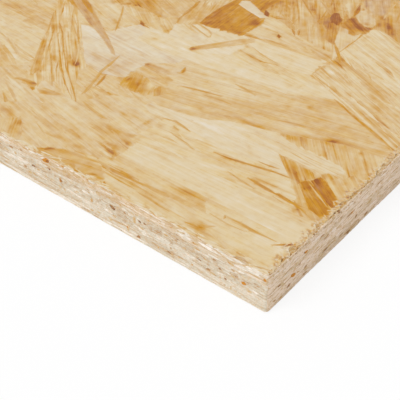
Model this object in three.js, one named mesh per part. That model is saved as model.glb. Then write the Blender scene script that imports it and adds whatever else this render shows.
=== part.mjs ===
// One oriented strand board panel: wood strands and resin pressed into a flat sheet, sawn square on all four edges.
// Millimetres. X runs along the sheet, the way most of its face strands lie, Y across it, and Z up through it.
// The origin is at the middle of the underside.
import * as THREE from "three";

// Driving dimensions
const panelLength = 2440;
const panelWidth = 1220;
const panelThickness = 18;
const arrisRound = 0.6; // the saw crumbles each arris by about one strand's thickness
const cornerRound = 0.9; // the four upright corners are knocked soft by this much more

// How finely the two roundings are divided
const arrisSteps = 3;
const cornerSteps = 4;

const strandBoard = new THREE.MeshStandardMaterial({ color: 0xe0c896, roughness: 0.72, metalness: 0 });

// The sheet's outline in plan, anticlockwise, lying inside the real edges by the arris rounding.
function sheetOutline() {
  const halfLength = panelLength / 2 - arrisRound;
  const halfWidth = panelWidth / 2 - arrisRound;
  const centreX = halfLength - cornerRound;
  const centreY = halfWidth - cornerRound;
  const outline = new THREE.Shape();
  outline.moveTo(-centreX, -halfWidth);
  outline.absarc(centreX, -centreY, cornerRound, -Math.PI / 2, 0);
  outline.absarc(centreX, centreY, cornerRound, 0, Math.PI / 2);
  outline.absarc(-centreX, centreY, cornerRound, Math.PI / 2, Math.PI);
  outline.absarc(-centreX, -centreY, cornerRound, Math.PI, Math.PI * 1.5);
  return outline;
}

// The pressed sheet: its outline raised through the thickness, with the arrises of both faces rounded over.
function pressedSheet() {
  const sheet = new THREE.ExtrudeGeometry(sheetOutline(), {
    depth: panelThickness - 2 * arrisRound,
    bevelEnabled: true,
    bevelThickness: arrisRound,
    bevelSize: arrisRound,
    bevelSegments: arrisSteps,
    curveSegments: cornerSteps,
  });
  return sheet.translate(0, 0, arrisRound);
}

const panel = new THREE.Mesh(pressedSheet(), strandBoard);
panel.name = "osb_panel";

const board = new THREE.Group();
board.add(panel);

export default board;
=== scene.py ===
import bpy
import numpy as np
from math import atan2, cos, exp, hypot, pi, radians, sin, tan
from mathutils import Matrix, Vector, geometry


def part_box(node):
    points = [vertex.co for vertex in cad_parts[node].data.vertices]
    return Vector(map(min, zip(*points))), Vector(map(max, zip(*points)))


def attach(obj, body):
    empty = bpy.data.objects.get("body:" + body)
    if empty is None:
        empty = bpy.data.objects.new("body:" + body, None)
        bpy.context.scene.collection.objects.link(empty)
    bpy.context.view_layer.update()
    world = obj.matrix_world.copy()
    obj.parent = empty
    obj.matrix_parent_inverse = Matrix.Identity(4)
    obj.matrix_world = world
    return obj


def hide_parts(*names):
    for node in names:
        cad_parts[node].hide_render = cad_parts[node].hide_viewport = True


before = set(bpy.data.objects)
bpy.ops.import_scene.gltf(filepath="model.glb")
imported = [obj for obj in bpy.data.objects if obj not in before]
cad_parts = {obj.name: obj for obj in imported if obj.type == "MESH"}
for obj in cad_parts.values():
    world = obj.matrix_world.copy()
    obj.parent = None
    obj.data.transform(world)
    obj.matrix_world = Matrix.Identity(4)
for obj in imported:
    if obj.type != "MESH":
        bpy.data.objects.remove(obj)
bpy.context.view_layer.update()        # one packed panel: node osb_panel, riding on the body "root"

panelLow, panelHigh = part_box("osb_panel")
mm = 0.001
panelLength = (panelHigh[0] - panelLow[0]) / mm
panelWidth = (panelHigh[1] - panelLow[1]) / mm
panelThick = (panelHigh[2] - panelLow[2]) / mm
print("panel is", round(panelLength), "x", round(panelWidth), "x", round(panelThick), "mm")

# Lengths are in mm until a mesh is made. A face is laid out flat as x, y and an edge as run, height.
# The corner that faces the camera is at +X -Y. Places near it are given as (along, across): along the
# long front edge and across the panel, both counted from that corner.


def toLinear(hexColour):
    parts = [int(hexColour[i:i + 2], 16) / 255 for i in (1, 3, 5)]
    return [c / 12.92 if c <= 0.04045 else ((c + 0.055) / 1.055) ** 2.4 for c in parts] + [1.0]


def addNode(tree, kind, settings=None, links=None):
    node = tree.nodes.new("ShaderNode" + kind)
    for name, value in (settings or {}).items():
        if name == "ramp":
            stops = node.color_ramp.elements
            while len(stops) < len(value):
                stops.new(1.0)
            for stop, (place, colour) in zip(stops, value):
                stop.position = place
                stop.color = toLinear(colour)
        elif isinstance(name, str) and hasattr(node, name):
            setattr(node, name, value)
        else:
            node.inputs[name].default_value = value
    for name, source in (links or {}).items():      # a node here means its first output
        tree.links.new(getattr(source, "outputs", [source])[0], node.inputs[name])
    return node


def newMaterial(name):
    material = bpy.data.materials.new(name)
    material.use_nodes = True
    material.node_tree.nodes.clear()
    return material, material.node_tree


# the outline of the board seen from above, as one loop with round corners

cornerRadius = 1.5      # upright corners, knocked soft
cornerArc = cornerRadius * pi / 2
sideLengths = [panelLength, panelWidth, panelLength, panelWidth]      # front, right, back, left
straights = [length - 2 * cornerRadius for length in sideLengths]
loopLength = sum(straights) + 4 * cornerArc


def loopPoint(run):
    # the place and the outward direction at a run along the loop, which starts at the middle of the
    # front edge and goes on past the camera's corner
    run = (run + straights[0] / 2) % loopLength
    x, y = -straights[0] / 2, -panelWidth / 2
    for side, straight in enumerate(straights):
        turn = side * pi / 2
        ux, uy = round(cos(turn)), round(sin(turn))
        if run <= straight:
            return x + ux * run, y + uy * run, uy, -ux
        run -= straight
        if run <= cornerArc:
            a = turn + run / cornerRadius
            cx = x + ux * straight - uy * cornerRadius + sin(a) * cornerRadius
            cy = y + uy * straight + ux * cornerRadius - cos(a) * cornerRadius
            return cx, cy, sin(a), -cos(a)
        run -= cornerArc
        on = straight + cornerRadius
        x, y = x + ux * on - uy * cornerRadius, y + uy * on + ux * cornerRadius
    return -straights[0] / 2, -panelWidth / 2, 0, -1


cornerRun = straights[0] / 2 + cornerArc / 2      # the middle of the camera's corner


def sideSpan(side):
    # the runs at which a side starts and ends, each at the middle of a corner
    start = -cornerRun
    for before in range(side):
        start += straights[before] + cornerArc
    return start, start + straights[side] + cornerArc


# strands: each is an outline with the way its grain runs, its depth and its looks


def roughStrand(rng, x, y, length, width, angle, **looks):
    # a knife-cut flake: straight split sides, and ends that are slanted or broken
    a, b = length / 2, width / 2
    slant = rng.normal(0, 0.5, 2) * width
    bow = rng.normal(0, 0.04) * width
    taper = rng.uniform(0.55, 1.0, 4)
    tip = rng.uniform(0.9, 1.0, 2)
    low = rng.uniform(-0.3, 0.3, 2) * b
    local = [
        (-a + slant[0] / 2, -b * taper[0]), (-a * 0.55, -b), (a * 0.1, -b + bow), (a * 0.62, -b),
        (a - slant[1] / 2, -b * taper[1]), (a * tip[0], low[0]),
        (a + slant[1] / 2, b * taper[2]), (a * 0.5, b), (-a * 0.15, b + bow), (-a * 0.6, b),
        (-a - slant[0] / 2, b * taper[3]), (-a * tip[1], low[1]),
    ]
    c, s = cos(angle), sin(angle)
    outline = [(x + c * u - s * v, y + s * u + c * v) for u, v in local]
    return {"outline": outline, "grain": angle, **looks}


# what shows of a pile of strands: a flat map of the topmost one at every place


def crossings(outlines, rim):
    # all the outlines crossed with each other, as triangles with the topmost outline's number
    corners, loops = [], []
    for loop in [rim] + outlines:
        loops.append(list(range(len(corners), len(corners) + len(loop))))
        corners += [Vector(p) for p in loop]
    found = geometry.delaunay_2d_cdt(corners, [], loops, 1, 1e-4, True)
    points, triangles, owners = found[0], found[2], found[5]
    inside = [i for i, own in enumerate(owners) if 0 in own]
    tops = np.array([max(owners[i]) for i in inside])
    return np.array([(p.x, p.y) for p in points]), np.array([triangles[i] for i in inside]), tops


def edgePairs(triangles):
    # each edge once, with the triangle on its left and the one on its right, or -1
    sides = np.concatenate([triangles[:, [0, 1]], triangles[:, [1, 2]], triangles[:, [2, 0]]])
    owner = np.tile(np.arange(len(triangles)), 3)
    key = np.sort(sides, axis=1)
    order = np.lexsort((key[:, 1], key[:, 0]))
    sides, owner, key = sides[order], owner[order], key[order]
    first = np.ones(len(key), bool)
    first[1:] = (key[1:] != key[:-1]).any(axis=1)
    start = np.flatnonzero(first)
    count = np.diff(np.append(start, len(key)))
    right = np.where(count > 1, owner[np.minimum(start + 1, len(owner) - 1)], -1)
    return sides[start], owner[start], right


def straightened(points, edges):
    # the same lines without the points that lie on a straight stretch of them
    near = {}
    for a, b in edges.tolist():
        near.setdefault(a, set()).add(b)
        near.setdefault(b, set()).add(a)
    for p in list(near):
        if len(near[p]) != 2:
            continue
        a, b = near[p]
        ax, ay = points[a] - points[p]
        bx, by = points[b] - points[p]
        away = abs(ax * by - ay * bx) / max(hypot(ax - bx, ay - by), 1e-9)
        if away < 0.004 and ax * bx + ay * by < 0 and b not in near[a]:
            near[a].remove(p)
            near[b].remove(p)
            near[a].add(b)
            near[b].add(a)
            del near[p]
    kept = sorted(near)
    number = {p: i for i, p in enumerate(kept)}
    return points[kept], [(number[a], number[b]) for a in kept for b in near[a] if a < b]


def covering(points, outlines, rim):
    # the number of the topmost outline over each point, from 1, or 0 where there is none and -1 off the rim
    order = np.argsort(points[:, 0])
    xs, ys = points[order, 0], points[order, 1]
    top = np.full(len(points), -1)
    for number, loop in enumerate([rim] + outlines):
        loop = np.array(loop)
        lowX, lowY = loop.min(axis=0)
        highX, highY = loop.max(axis=0)
        i, j = np.searchsorted(xs, [lowX, highX])
        near = np.arange(i, j)[(ys[i:j] >= lowY) & (ys[i:j] <= highY)]
        px, py = xs[near], ys[near]
        inside = np.zeros(len(near), bool)
        for (x0, y0), (x1, y1) in zip(loop, np.roll(loop, -1, axis=0)):
            if y0 != y1:
                inside ^= ((y0 > py) != (y1 > py)) & (px < x0 + (py - y0) * (x1 - x0) / (y1 - y0))
        near = near[inside]
        top[near if number == 0 else near[top[near] >= 0]] = number
    result = np.empty(len(points), int)
    result[order] = top
    return result


def showing(outlines, rim, extraPoints, extraLines):
    points, triangles, tops = crossings(outlines, rim)
    edges, left, right = edgePairs(triangles)
    points, lines = straightened(points, edges[(right < 0) | (tops[left] != tops[right])])
    corners = [Vector(p) for p in points] + [Vector(p) for p in extraPoints]
    for line in extraLines:
        base = len(corners)
        corners += [Vector(p) for p in line]
        lines = lines + [(base + i, base + i + 1) for i in range(len(line) - 1)]
    found = geometry.delaunay_2d_cdt(corners, lines, [], 0, 1e-3, False)
    points = np.array([(p.x, p.y) for p in found[0]])
    triangles = np.array(found[2])
    a, b, c = (points[triangles[:, i]] for i in range(3))
    area = (b[:, 0] - a[:, 0]) * (c[:, 1] - a[:, 1]) - (b[:, 1] - a[:, 1]) * (c[:, 0] - a[:, 0])
    triangles[area < 0] = triangles[area < 0][:, ::-1]
    top = covering((a + b + c) / 3, outlines, rim)
    keep = (top >= 0) & (np.abs(area) > 1e-6)
    return points, triangles[keep], top[keep]


# the map raised into a mesh: every strand at its own depth, with walls where two depths meet

# what a strand hands to its material, with its usual values
strandLooks = {"tone": 0.4, "figure": 0.3, "ridge": 0.0, "grey": 0.0}


def strandValues(strands, rng):
    # per strand, as arrays: place, grain direction, depth, tilt, size and looks; number 0 is the bare mat
    mat = {"outline": [(-1, -1), (1, -1), (1, 1), (-1, 1)], "grain": 0.0, "tone": 0.55}
    everything = [mat] + strands
    outline = [np.array(s["outline"]) for s in everything]
    centre = np.array([(o.min(axis=0) + o.max(axis=0)) / 2 for o in outline])
    along = np.array([(cos(s["grain"]), sin(s["grain"])) for s in everything])
    across = np.stack([-along[:, 1], along[:, 0]], axis=1)
    halfWidth = np.array([np.abs((o - c) @ h).max() for o, c, h in zip(outline, centre, across)])
    return {
        "centre": centre, "along": along, "across": across, "halfWidth": np.maximum(halfWidth, 0.1),
        "shift": rng.uniform(0, 900, (len(everything), 2)),
        "depth": np.array([s.get("depth", 0.1) for s in everything]),
        "tilt": np.array([s.get("tilt", (0.0, 0.0)) for s in everything]),
        "cup": np.array([s.get("cup", 0.0) for s in everything]),
        "looks": np.array([[s.get(k, usual) for k, usual in strandLooks.items()] for s in everything]),
        "soft": np.array([s.get("soft", 0.0) for s in everything]),
        "stains": {i: s["stains"] for i, s in enumerate(everything) if s.get("stains")},
    }


def alongGrain(values, strand, place):
    # each place as seen by its strand: mm along the grain and across it, from the strand's middle
    away = place - values["centre"][strand]
    return np.stack([(away * values[way][strand]).sum(axis=1) for way in ("along", "across")], axis=1)


def raisedMesh(points, triangles, top, values, skirt):
    # corner arrays for triangles and wall quads; a vertex is a place on the map with a strand's depth
    count = len(values["centre"])
    edges, left, right = edgePairs(triangles)
    between = (right >= 0) & (top[left] != top[right])
    rimEdges = right < 0
    keys = [triangles * count + top[:, None]]
    a, b = edges[between, 0], edges[between, 1]
    own, other = top[left[between]], top[right[between]]
    keys.append(np.stack([a * count + own, a * count + other, b * count + other, b * count + own], axis=1))
    below = len(points) * count
    c, d = edges[rimEdges, 0], edges[rimEdges, 1]
    edgeOwn = top[left[rimEdges]]
    keys.append(np.stack([
        c * count + edgeOwn, below + c * count + edgeOwn, below + d * count + edgeOwn, d * count + edgeOwn,
    ], axis=1))
    used, corner = np.unique(np.concatenate([k.ravel() for k in keys]), return_inverse=True)
    isBelow = used >= below
    used = np.where(isBelow, used - below, used)
    pointOf, strand = used // count, used % count
    place = points[pointOf]
    span = alongGrain(values, strand, place)
    depth = values["depth"][strand] + (span * values["tilt"][strand]).sum(axis=1)
    depth += values["cup"][strand] * (1 - (span[:, 1] / values["halfWidth"][strand]).clip(-1, 1) ** 2)
    depth = depth.clip(0.02, None) + np.where(isBelow, skirt, 0.0)
    sizes = np.concatenate([np.full(len(triangles), 3), np.full(len(a) + len(c), 4)])
    # a wall takes its grain from the strand that stands higher
    upper = np.where(values["depth"][own] < values["depth"][other], own, other)
    wearer = np.concatenate([np.repeat(top, 3), np.repeat(upper, 4), np.repeat(edgeOwn, 4)])
    onSkirt = np.repeat([False, True], [3 * len(triangles) + 4 * len(a), 4 * len(c)])
    return {
        "place": place, "point": pointOf, "depth": depth, "corner": corner, "sizes": sizes, "wearer": wearer,
        "onSkirt": onSkirt,
    }


def stained(looks, wearer, flat, stains):
    # darker and lighter patches, each a soft oval on one strand
    for strand in set(wearer.tolist()) & set(stains):
        here = np.flatnonzero(wearer == strand)
        for x, y, halfLength, halfWidth, turn, strength in stains[strand]:
            dx, dy = flat[here, 0] - x, flat[here, 1] - y
            u = (dx * cos(turn) + dy * sin(turn)) / halfLength
            v = (dy * cos(turn) - dx * sin(turn)) / halfWidth
            looks[here, 0] += strength * np.exp(-u ** 2 - v ** 2)
    return looks


def softened(tone, wearer, place, soft):
    # soft strands let their tone run into their neighbours' where they meet
    known, number = np.unique(place, return_inverse=True)
    mean = np.bincount(number, tone) / np.bincount(number)
    return tone + (mean[number] - tone) * soft[wearer]


def pieceFromCorners(name, shape, faces, position, flip, mapPlace, values, material):
    # one object from some of the faces, with its maps and its looks
    sizes = shape["sizes"][faces]
    starts = np.cumsum(sizes) - sizes
    local = np.arange(sizes.sum()) - np.repeat(starts, sizes)
    if flip:
        local = np.repeat(sizes, sizes) - 1 - local
    wanted = np.repeat((np.cumsum(shape["sizes"]) - shape["sizes"])[faces], sizes) + local
    used, corner = np.unique(shape["corner"][wanted], return_inverse=True)
    wearer = shape["wearer"][wanted]
    mesh = bpy.data.meshes.new(name)
    mesh.vertices.add(len(used))
    mesh.vertices.foreach_set("co", (position[used] * mm).astype(np.float32).ravel())
    mesh.loops.add(len(corner))
    mesh.loops.foreach_set("vertex_index", corner.astype(np.int32))
    mesh.polygons.add(len(sizes))
    mesh.polygons.foreach_set("loop_start", starts.astype(np.int32))
    mesh.polygons.foreach_set("use_smooth", np.zeros(len(sizes), bool))
    mesh.update(calc_edges=True)
    mesh.validate()
    flat = shape["place"][used][corner]
    grainRun = alongGrain(values, wearer, flat) + values["shift"][wearer]
    for layer, coordinates in {"grainRun": grainRun, "OFBake": mapPlace(flat)}.items():
        mesh.uv_layers.new(name=layer, do_init=False)
        mesh.uv_layers[layer].uv.foreach_set("vector", coordinates.astype(np.float32).ravel())
    looks = stained(values["looks"][wearer], wearer, flat, values["stains"])
    # the upper face's rim wall is painted paler here, painted light over its shade; the under face's rim is
    # drawn paler and greyer
    looks[shape["onSkirt"][wanted]] += shape.get("skirtLooks", 0.0)
    if "ledgeLooks" in shape:
        looks += shape["ledgeLooks"][used][corner]
    looks[:, 0] = softened(looks[:, 0], wearer, shape["point"][used][corner], values["soft"])
    colours = mesh.color_attributes.new(name="strandLooks", type="FLOAT_COLOR", domain="CORNER")
    colours.data.foreach_set("color", looks.astype(np.float32).ravel())
    piece = bpy.data.objects.new(name, mesh)
    bpy.context.collection.objects.link(piece)
    piece.data.materials.append(material)
    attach(piece, "root")
    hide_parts("osb_panel")
    print(name, len(sizes), "faces")


# the rim, where a face meets the sawn edges: how far the face stops short and how far the edge starts below

rimWear = {
    "step": 7.0,          # between points along the rim
    "fineStep": 0.9,      # near the camera's corner
    "fineReach": 260.0,
    "cornerStep": 0.45,   # at the upright corners
    "cornerReach": 3.0,
    "faceBack": (0.10, 0.30), # how far the face stops short: least, and usual extra along the grain
    "tornBack": 2.6,      # usual extra across the grain
    "edgeDown": (0.26, 0.30), # least and usual extra that the edge starts below the face
    "chips": 90,          # larger splinters broken off round the whole rim
    "chipHalf": (3, 22),  # half their length
    "chipDeep": (0.5, 2.2),       # how far into the face
    "chipDown": 0.6,      # and down the edge
}


def rimRuns():
    # finer towards the camera's corner, and towards each upright corner
    runs = []
    corners = [sideSpan(side)[1] for side in range(4)]
    half = loopLength / 2
    run = -cornerRun - cornerArc
    while run < loopLength - cornerRun - cornerArc:
        runs.append(run)
        step = rimWear["fineStep" if abs(run - cornerRun) < rimWear["fineReach"] else "step"]
        away = min(abs((run - corner + half) % loopLength - half) for corner in corners)
        run += min(step, rimWear["cornerStep"] if away < rimWear["cornerReach"] else away - 2)
    return np.array(runs)


def wornRim(seed, share):
    # two arrays for the runs: how far the face stops short, and how far down the edge starts
    rng = np.random.default_rng(seed)
    count = len(runs)
    acrossStrands = np.array([abs(loopPoint(run)[2]) > 0.5 for run in runs])
    usual = np.where(acrossStrands, rimWear["tornBack"], rimWear["faceBack"][1])
    rough = rng.random(count)
    back = rimWear["faceBack"][0] + usual * share * (rough + np.roll(rough, 1) + np.roll(rough, 2)) ** 2 / 6
    down = rimWear["edgeDown"][0] + rimWear["edgeDown"][1] * share * rng.random(count) ** 1.5
    for _ in range(int(rimWear["chips"] * share)):
        middle = rng.uniform(runs[0], runs[-1])
        half = rng.uniform(*rimWear["chipHalf"])
        deep = rng.uniform(*rimWear["chipDeep"])
        shape = (1 - np.abs(runs - middle) / half).clip(0, 1) ** 0.6
        back = np.maximum(back, deep * shape)
        down = np.maximum(down, rimWear["chipDown"] * shape)
    return back, down


runs = rimRuns()
topBack, topDown = wornRim(11, 1.0)
lowBack, lowDown = wornRim(12, 0.6)
print("rim has", len(runs), "points")


def rimOutline(back):
    outline = []
    for run, inset in zip(runs, back):
        x, y, nx, ny = loopPoint(run)
        outline.append((x - nx * inset, y - ny * inset))
    return outline


# the strands of the two faces

faceMat = {
    "firstPitch": (92.0, 23.0),   # mm along and across between the strands of a first even layer
    "firstGrow": 1.5,     # how far those overlap: their size for each pitch
    "layers": 2.7,        # how many strands deep the pile is
    "length": (118, 24),  # mean and spread, mm
    "shortest": 30,
    "width": (21, 0.45),  # median, and spread as a share
    "widest": 42,
    "turn": 24,           # spread of the grain about the board's length, degrees
    "lengthwise": 0.85,   # share of strands that keep to that, while the others lie any way
    "sliver": 0.16,       # share of strands that are thin slivers
    "sliverWidth": (2, 7),
    "tone": (0.36, 0.10, 0.14, 0.6),      # mean, spread, least and most
    "darkShare": 0.12,
    "darkTone": (0.5, 0.78),
    "paleShare": 0.16,
    "paleTone": (0.12, 0.22),
    "ridged": 0.2,        # share of strands with knife furrows
    "depths": (0.05, 0.10, 0.03),         # least, extra of the lowest strand, and spread
    "tilts": (0.0003, 0.0015),    # spread of the slope along and across the grain
    "cup": 0.03,          # most that a strand's middle lies deeper than its sides
}


def faceStrands(seed):
    rng = np.random.default_rng(seed)
    strands = []
    # a first even layer leaves no bare mat
    pitchX, pitchY = faceMat["firstPitch"]
    grow = faceMat["firstGrow"]
    for i in range(int(panelLength / pitchX) + 3):
        for j in range(int(panelWidth / pitchY) + 3):
            x = -panelLength / 2 + (i - 1 + 0.5 * (j % 2) + rng.uniform(-0.15, 0.15)) * pitchX
            y = -panelWidth / 2 + (j - 1 + rng.uniform(-0.15, 0.15)) * pitchY
            strands.append(roughStrand(rng, x, y, pitchX * grow, pitchY * grow, rng.normal(0, 0.12)))
    meanLength, meanWidth = faceMat["length"][0], faceMat["width"][0]
    count = int(faceMat["layers"] * panelLength * panelWidth / (meanLength * meanWidth * 1.1))
    for _ in range(count - len(strands)):
        length = max(faceMat["shortest"], rng.normal(*faceMat["length"]))
        width = meanWidth * exp(rng.normal(0, faceMat["width"][1]))
        if rng.random() < faceMat["sliver"]:
            width = rng.uniform(*faceMat["sliverWidth"])
            length *= 0.7
        lengthwise = rng.random() < faceMat["lengthwise"]
        angle = radians(rng.normal(0, faceMat["turn"]) if lengthwise else rng.uniform(-90, 90))
        strands.append(roughStrand(
            rng, rng.uniform(-0.5, 0.5) * (panelLength + 40), rng.uniform(-0.5, 0.5) * (panelWidth + 40),
            length, min(width, faceMat["widest"]), angle,
        ))
    tone, toneSpread, least, most = faceMat["tone"]
    shallow, deeper, spread = faceMat["depths"]
    for rank, strand in enumerate(strands):
        kind = rng.random()
        strand["tone"] = float(np.clip(rng.normal(tone, toneSpread), least, most))
        strand["grey"] = float(rng.random() ** 3)
        if kind > 1 - faceMat["darkShare"]:
            strand["tone"] = rng.uniform(*faceMat["darkTone"])
        elif kind < faceMat["paleShare"]:
            strand["tone"] = rng.uniform(*faceMat["paleTone"])
        strand["figure"] = rng.random()
        strand["ridge"] = rng.random() if rng.random() < faceMat["ridged"] else 0.0
        strand["depth"] = shallow + deeper * (1 - rank / len(strands)) + rng.uniform(-spread, spread)
        strand["tilt"] = tuple(rng.normal(0, tilt) for tilt in faceMat["tilts"])
        strand["cup"] = rng.uniform(0.0, faceMat["cup"])
    return strands


# the strands round the camera's corner are listed one by one and laid over the random ones

handLaid = {
    "tearStep": (3.0, 1.3),       # mm between the points of a side along the grain, and of one across it
    "tear": (0.12, 0.7),  # mm, how far those sides wander
    "depths": (0.05, 0.13),       # mm, of the uppermost strand and the lowest
    "soft": 0.85,         # how far a strand's tone runs into its neighbour's
    "furrowed": 70,       # figure above which a strand shows knife furrows, in hundredths
    "lineTone": 7,        # how much darker dark lines are than listed, in hundredths; they stand partly for resin and partly for the shade in seams between strands, painted
    "lineDepth": 0.05,    # mm, how much deeper they lie
    "lineSoft": 0.6,
    "fibres": 0.04,       # loose fibres on the most figured strands, to each square mm
    "fibreTurn": 11,      # degrees
    "fibreLength": (5, 26),
    "fibreWidth": (0.6, 1.8),
    "fibreShow": 0.06,    # spread of their tone
    "smudges": 0.018,     # small soft stains along the grain, to each square mm
    "smudgeSize": ((2, 7), (0.8, 1.8)),   # half their length and width
    "smudgeTurn": 12,
    "smudgeShow": 9,      # their strength, in hundredths
    "stainStep": 1.25,    # mm between the points that carry stains
    "ground": [(-6, -6), (142, -6), (246, 84), (72, 224), (-6, 92)],  # which these points cover
}

# bits torn up along the rims next to the corner, all in mm
rimBits = {
    "crumbs": {           # of the short rim
        "reach": 97, "pitch": 0.35, "inward": (-0.3, 2.2), "turn": 1.2, "half": (0.3, 0.9),
        "width": (0.4, 1.0), "tones": (0.25, 0.35, 0.4, 0.5, 0.65, 0.8), "grey": 0.6,
    },
    "frays": {            # of the long rim
        "reach": 138, "pitch": 1.2, "inward": (-0.2, 1.6), "turn": 0.25, "half": (1, 3.5),
        "width": (0.4, 1.0), "tones": (0.08, 0.15, 0.15, 0.5, 0.6), "grey": 0.2,
    },
}


def fromCorner(along, across):
    return panelLength / 2 - along, across - panelWidth / 2


def allFromCorner(points):
    return [fromCorner(*point) for point in points]


def fromCornerTurn(degrees):
    return pi - radians(degrees)


def sidesOf(outline):
    return list(zip(outline, outline[1:] + outline[:1]))


def areaOf(outline):
    return sum(x0 * y1 - x1 * y0 for (x0, y0), (x1, y1) in sidesOf(outline)) / 2


def torn(rng, outline, grain, most=1.0):
    # the same outline, anticlockwise, split straight along the grain and splintered across it
    if areaOf(outline) < 0:
        outline = outline[::-1]
    result = []
    for (x0, y0), (x1, y1) in sidesOf(outline):
        length = hypot(x1 - x0, y1 - y0)
        across = abs(sin(atan2(y1 - y0, x1 - x0) - grain))
        step, tear = (a + (b - a) * across for a, b in (handLaid["tearStep"], handLaid["tear"]))
        count = max(1, round(length / step))
        for i in range(count):
            away = rng.normal(0, min(tear, most)) * min(1, length / 6)
            x, y = x0 + (x1 - x0) * (i / count), y0 + (y1 - y0) * (i / count)
            result.append((x + away * cos(grain), y + away * sin(grain)))
    return result


def thinLine(points, width):
    # an outline about a line of points, thin at both ends
    left, right = [], []
    for i, (x, y) in enumerate(points):
        x0, y0 = points[max(i - 1, 0)]
        x1, y1 = points[min(i + 1, len(points) - 1)]
        half = width / 2 * (0.2 if i in (0, len(points) - 1) else 1) / hypot(x1 - x0, y1 - y0)
        left.append((x - (y1 - y0) * half, y + (x1 - x0) * half))
        right.append((x + (y1 - y0) * half, y - (x1 - x0) * half))
    return right + left[::-1]


def isInside(outline, x, y):
    return sum(
        (y0 > y) != (y1 > y) and x < x0 + (y - y0) / (y1 - y0) * (x1 - x0)
        for (x0, y0), (x1, y1) in sidesOf(outline)
    ) % 2


def somewhereOn(rng, outline):
    # a place within an outline's bounds
    (x0, y0), (x1, y1) = np.min(outline, axis=0), np.max(outline, axis=0)
    return rng.uniform(x0, x1), rng.uniform(y0, y1)


def looseFibres(rng, strand, grain, outline):
    # thin fibres that lie on a strand, nearly along it
    fibres = []
    for i in range(int(rng.poisson(handLaid["fibres"] * strand["figure"] * abs(areaOf(outline))))):
        x, y = somewhereOn(rng, outline)
        turn = radians(grain + rng.normal(0, handLaid["fibreTurn"]))
        half = rng.uniform(*handLaid["fibreLength"]) / 2
        bend = rng.normal(0, 0.05) * half
        line = [
            (x + half * s * cos(turn) - bend * s * s * sin(turn),
             y + half * s * sin(turn) + bend * s * s * cos(turn))
            for s in (-1, -0.4, 0.3, 1)
        ]
        if not all(isInside(outline, *point) for point in line):
            continue
        fibre = allFromCorner(thinLine(line, rng.uniform(*handLaid["fibreWidth"]))[::-1])
        tone = float(np.clip(strand["tone"] + rng.normal(0.02, handLaid["fibreShow"]), 0.06, 0.8))
        depth = strand["depth"] + rng.uniform(-0.03, 0.01)
        looks = {"outline": fibre, "tone": tone, "grain": pi - turn, "depth": depth, "stains": []}
        fibres.append({**strand, **looks})
    return fibres


def smudges(rng, grain, outline):
    # small soft stains, darker and lighter, drawn out along the grain
    result = []
    for i in range(int(rng.poisson(handLaid["smudges"] * abs(areaOf(outline))))):
        x, y = somewhereOn(rng, outline)
        halfLength, halfWidth = (rng.uniform(*size) for size in handLaid["smudgeSize"])
        turn = grain + rng.normal(0, handLaid["smudgeTurn"])
        result.append((x, y, halfLength, halfWidth, rng.normal(0, handLaid["smudgeShow"]), turn))
    return result


def rimCrumbs(rng, kind, away, depth):
    # bits torn up where the face ends, along the short rim or the front one
    look = rimBits[kind]
    bits = []
    for run in np.arange(0.5, look["reach"], look["pitch"]):
        inward = float(np.interp(cornerRun + away * run, runs, topBack)) + rng.uniform(*look["inward"])
        x, y = (inward, run) if away > 0 else (run, inward)
        turn = rng.normal(0, look["turn"])
        half = rng.uniform(*look["half"])
        line = [(x + half * s * cos(turn), y + half * s * sin(turn)) for s in (-1, 0, 1)]
        bits.append({
            "outline": allFromCorner(thinLine(line, rng.uniform(*look["width"]))[::-1]),
            "grain": pi - turn, "tone": look["tones"][int(rng.integers(0, len(look["tones"])))],
            "figure": 0.2, "grey": look["grey"], "soft": 0.6, "depth": depth + rng.uniform(0, 0.08),
        })
    return bits


def cornerStrands(seed):
    rng = np.random.default_rng(seed)
    shallow, deep = handLaid["depths"]
    strands = []
    for rank, (tone, grey, grain, figure, outline, stains) in enumerate(cornerFlakes):
        strands.append({
            "outline": torn(rng, allFromCorner(outline), fromCornerTurn(grain)),
            "grain": fromCornerTurn(grain), "tone": tone / 100, "figure": figure / 100, "grey": grey / 100,
            "soft": handLaid["soft"], "ridge": max(0, figure - handLaid["furrowed"]) / 30,
            "depth": deep + (shallow - deep) * rank / len(cornerFlakes) + rng.uniform(-0.02, 0.02),
            "tilt": (0.0, rng.normal(0, 0.0006)), "cup": rng.uniform(0.0, 0.02),
            "stains": [
                (*fromCorner(along, across), a, b, fromCornerTurn(*turn or [grain]), strength / 100)
                for along, across, a, b, strength, *turn in stains + smudges(rng, grain, outline)
            ],
        })
        strands += looseFibres(rng, strands[-1], grain, outline)
    # lines darker than 40 are resin and the seams between strands, partly painted shade, and lie a little
    # deeper
    for tone, width, line in cornerLines:
        (x0, y0), (x1, y1) = fromCorner(*line[0]), fromCorner(*line[-1])
        grain = atan2(y1 - y0, x1 - x0)
        dark = tone > 40
        strands.append({
            "outline": torn(rng, allFromCorner(thinLine(line, width)), grain, width / 3), "grain": grain,
            "tone": (tone + handLaid["lineTone"] * dark) / 100, "figure": 0.2, "soft": handLaid["lineSoft"],
            "depth": shallow + handLaid["lineDepth"] * dark,
        })
    return strands + rimCrumbs(rng, "crumbs", 1, shallow) + rimCrumbs(rng, "frays", -1, shallow)


def unevenGrid(rng, start, step, width, height):
    # a triangular grid with each point knocked a little off its place
    return [
        (start + (column + 0.5 * (row % 2) + rng.uniform(-0.2, 0.2)) * step,
         start + (row + rng.uniform(-0.2, 0.2)) * step * 0.866)
        for row in range(int(height / (step * 0.866))) for column in range(int(width / step))
    ]


def stainPoints(seed):
    # points that carry stains, over the ground that the camera sees
    sides = sidesOf(handLaid["ground"])
    (left, low), (right, high) = np.min(handLaid["ground"], axis=0), np.max(handLaid["ground"], axis=0)
    return allFromCorner(
        (along, across)
        for along, across in unevenGrid(
            np.random.default_rng(seed), left, handLaid["stainStep"], right - left, high - low,
        )
        if all((x1 - x0) * (across - y0) > (y1 - y0) * (along - x0) for (x0, y0), (x1, y1) in sides)
    )


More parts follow.
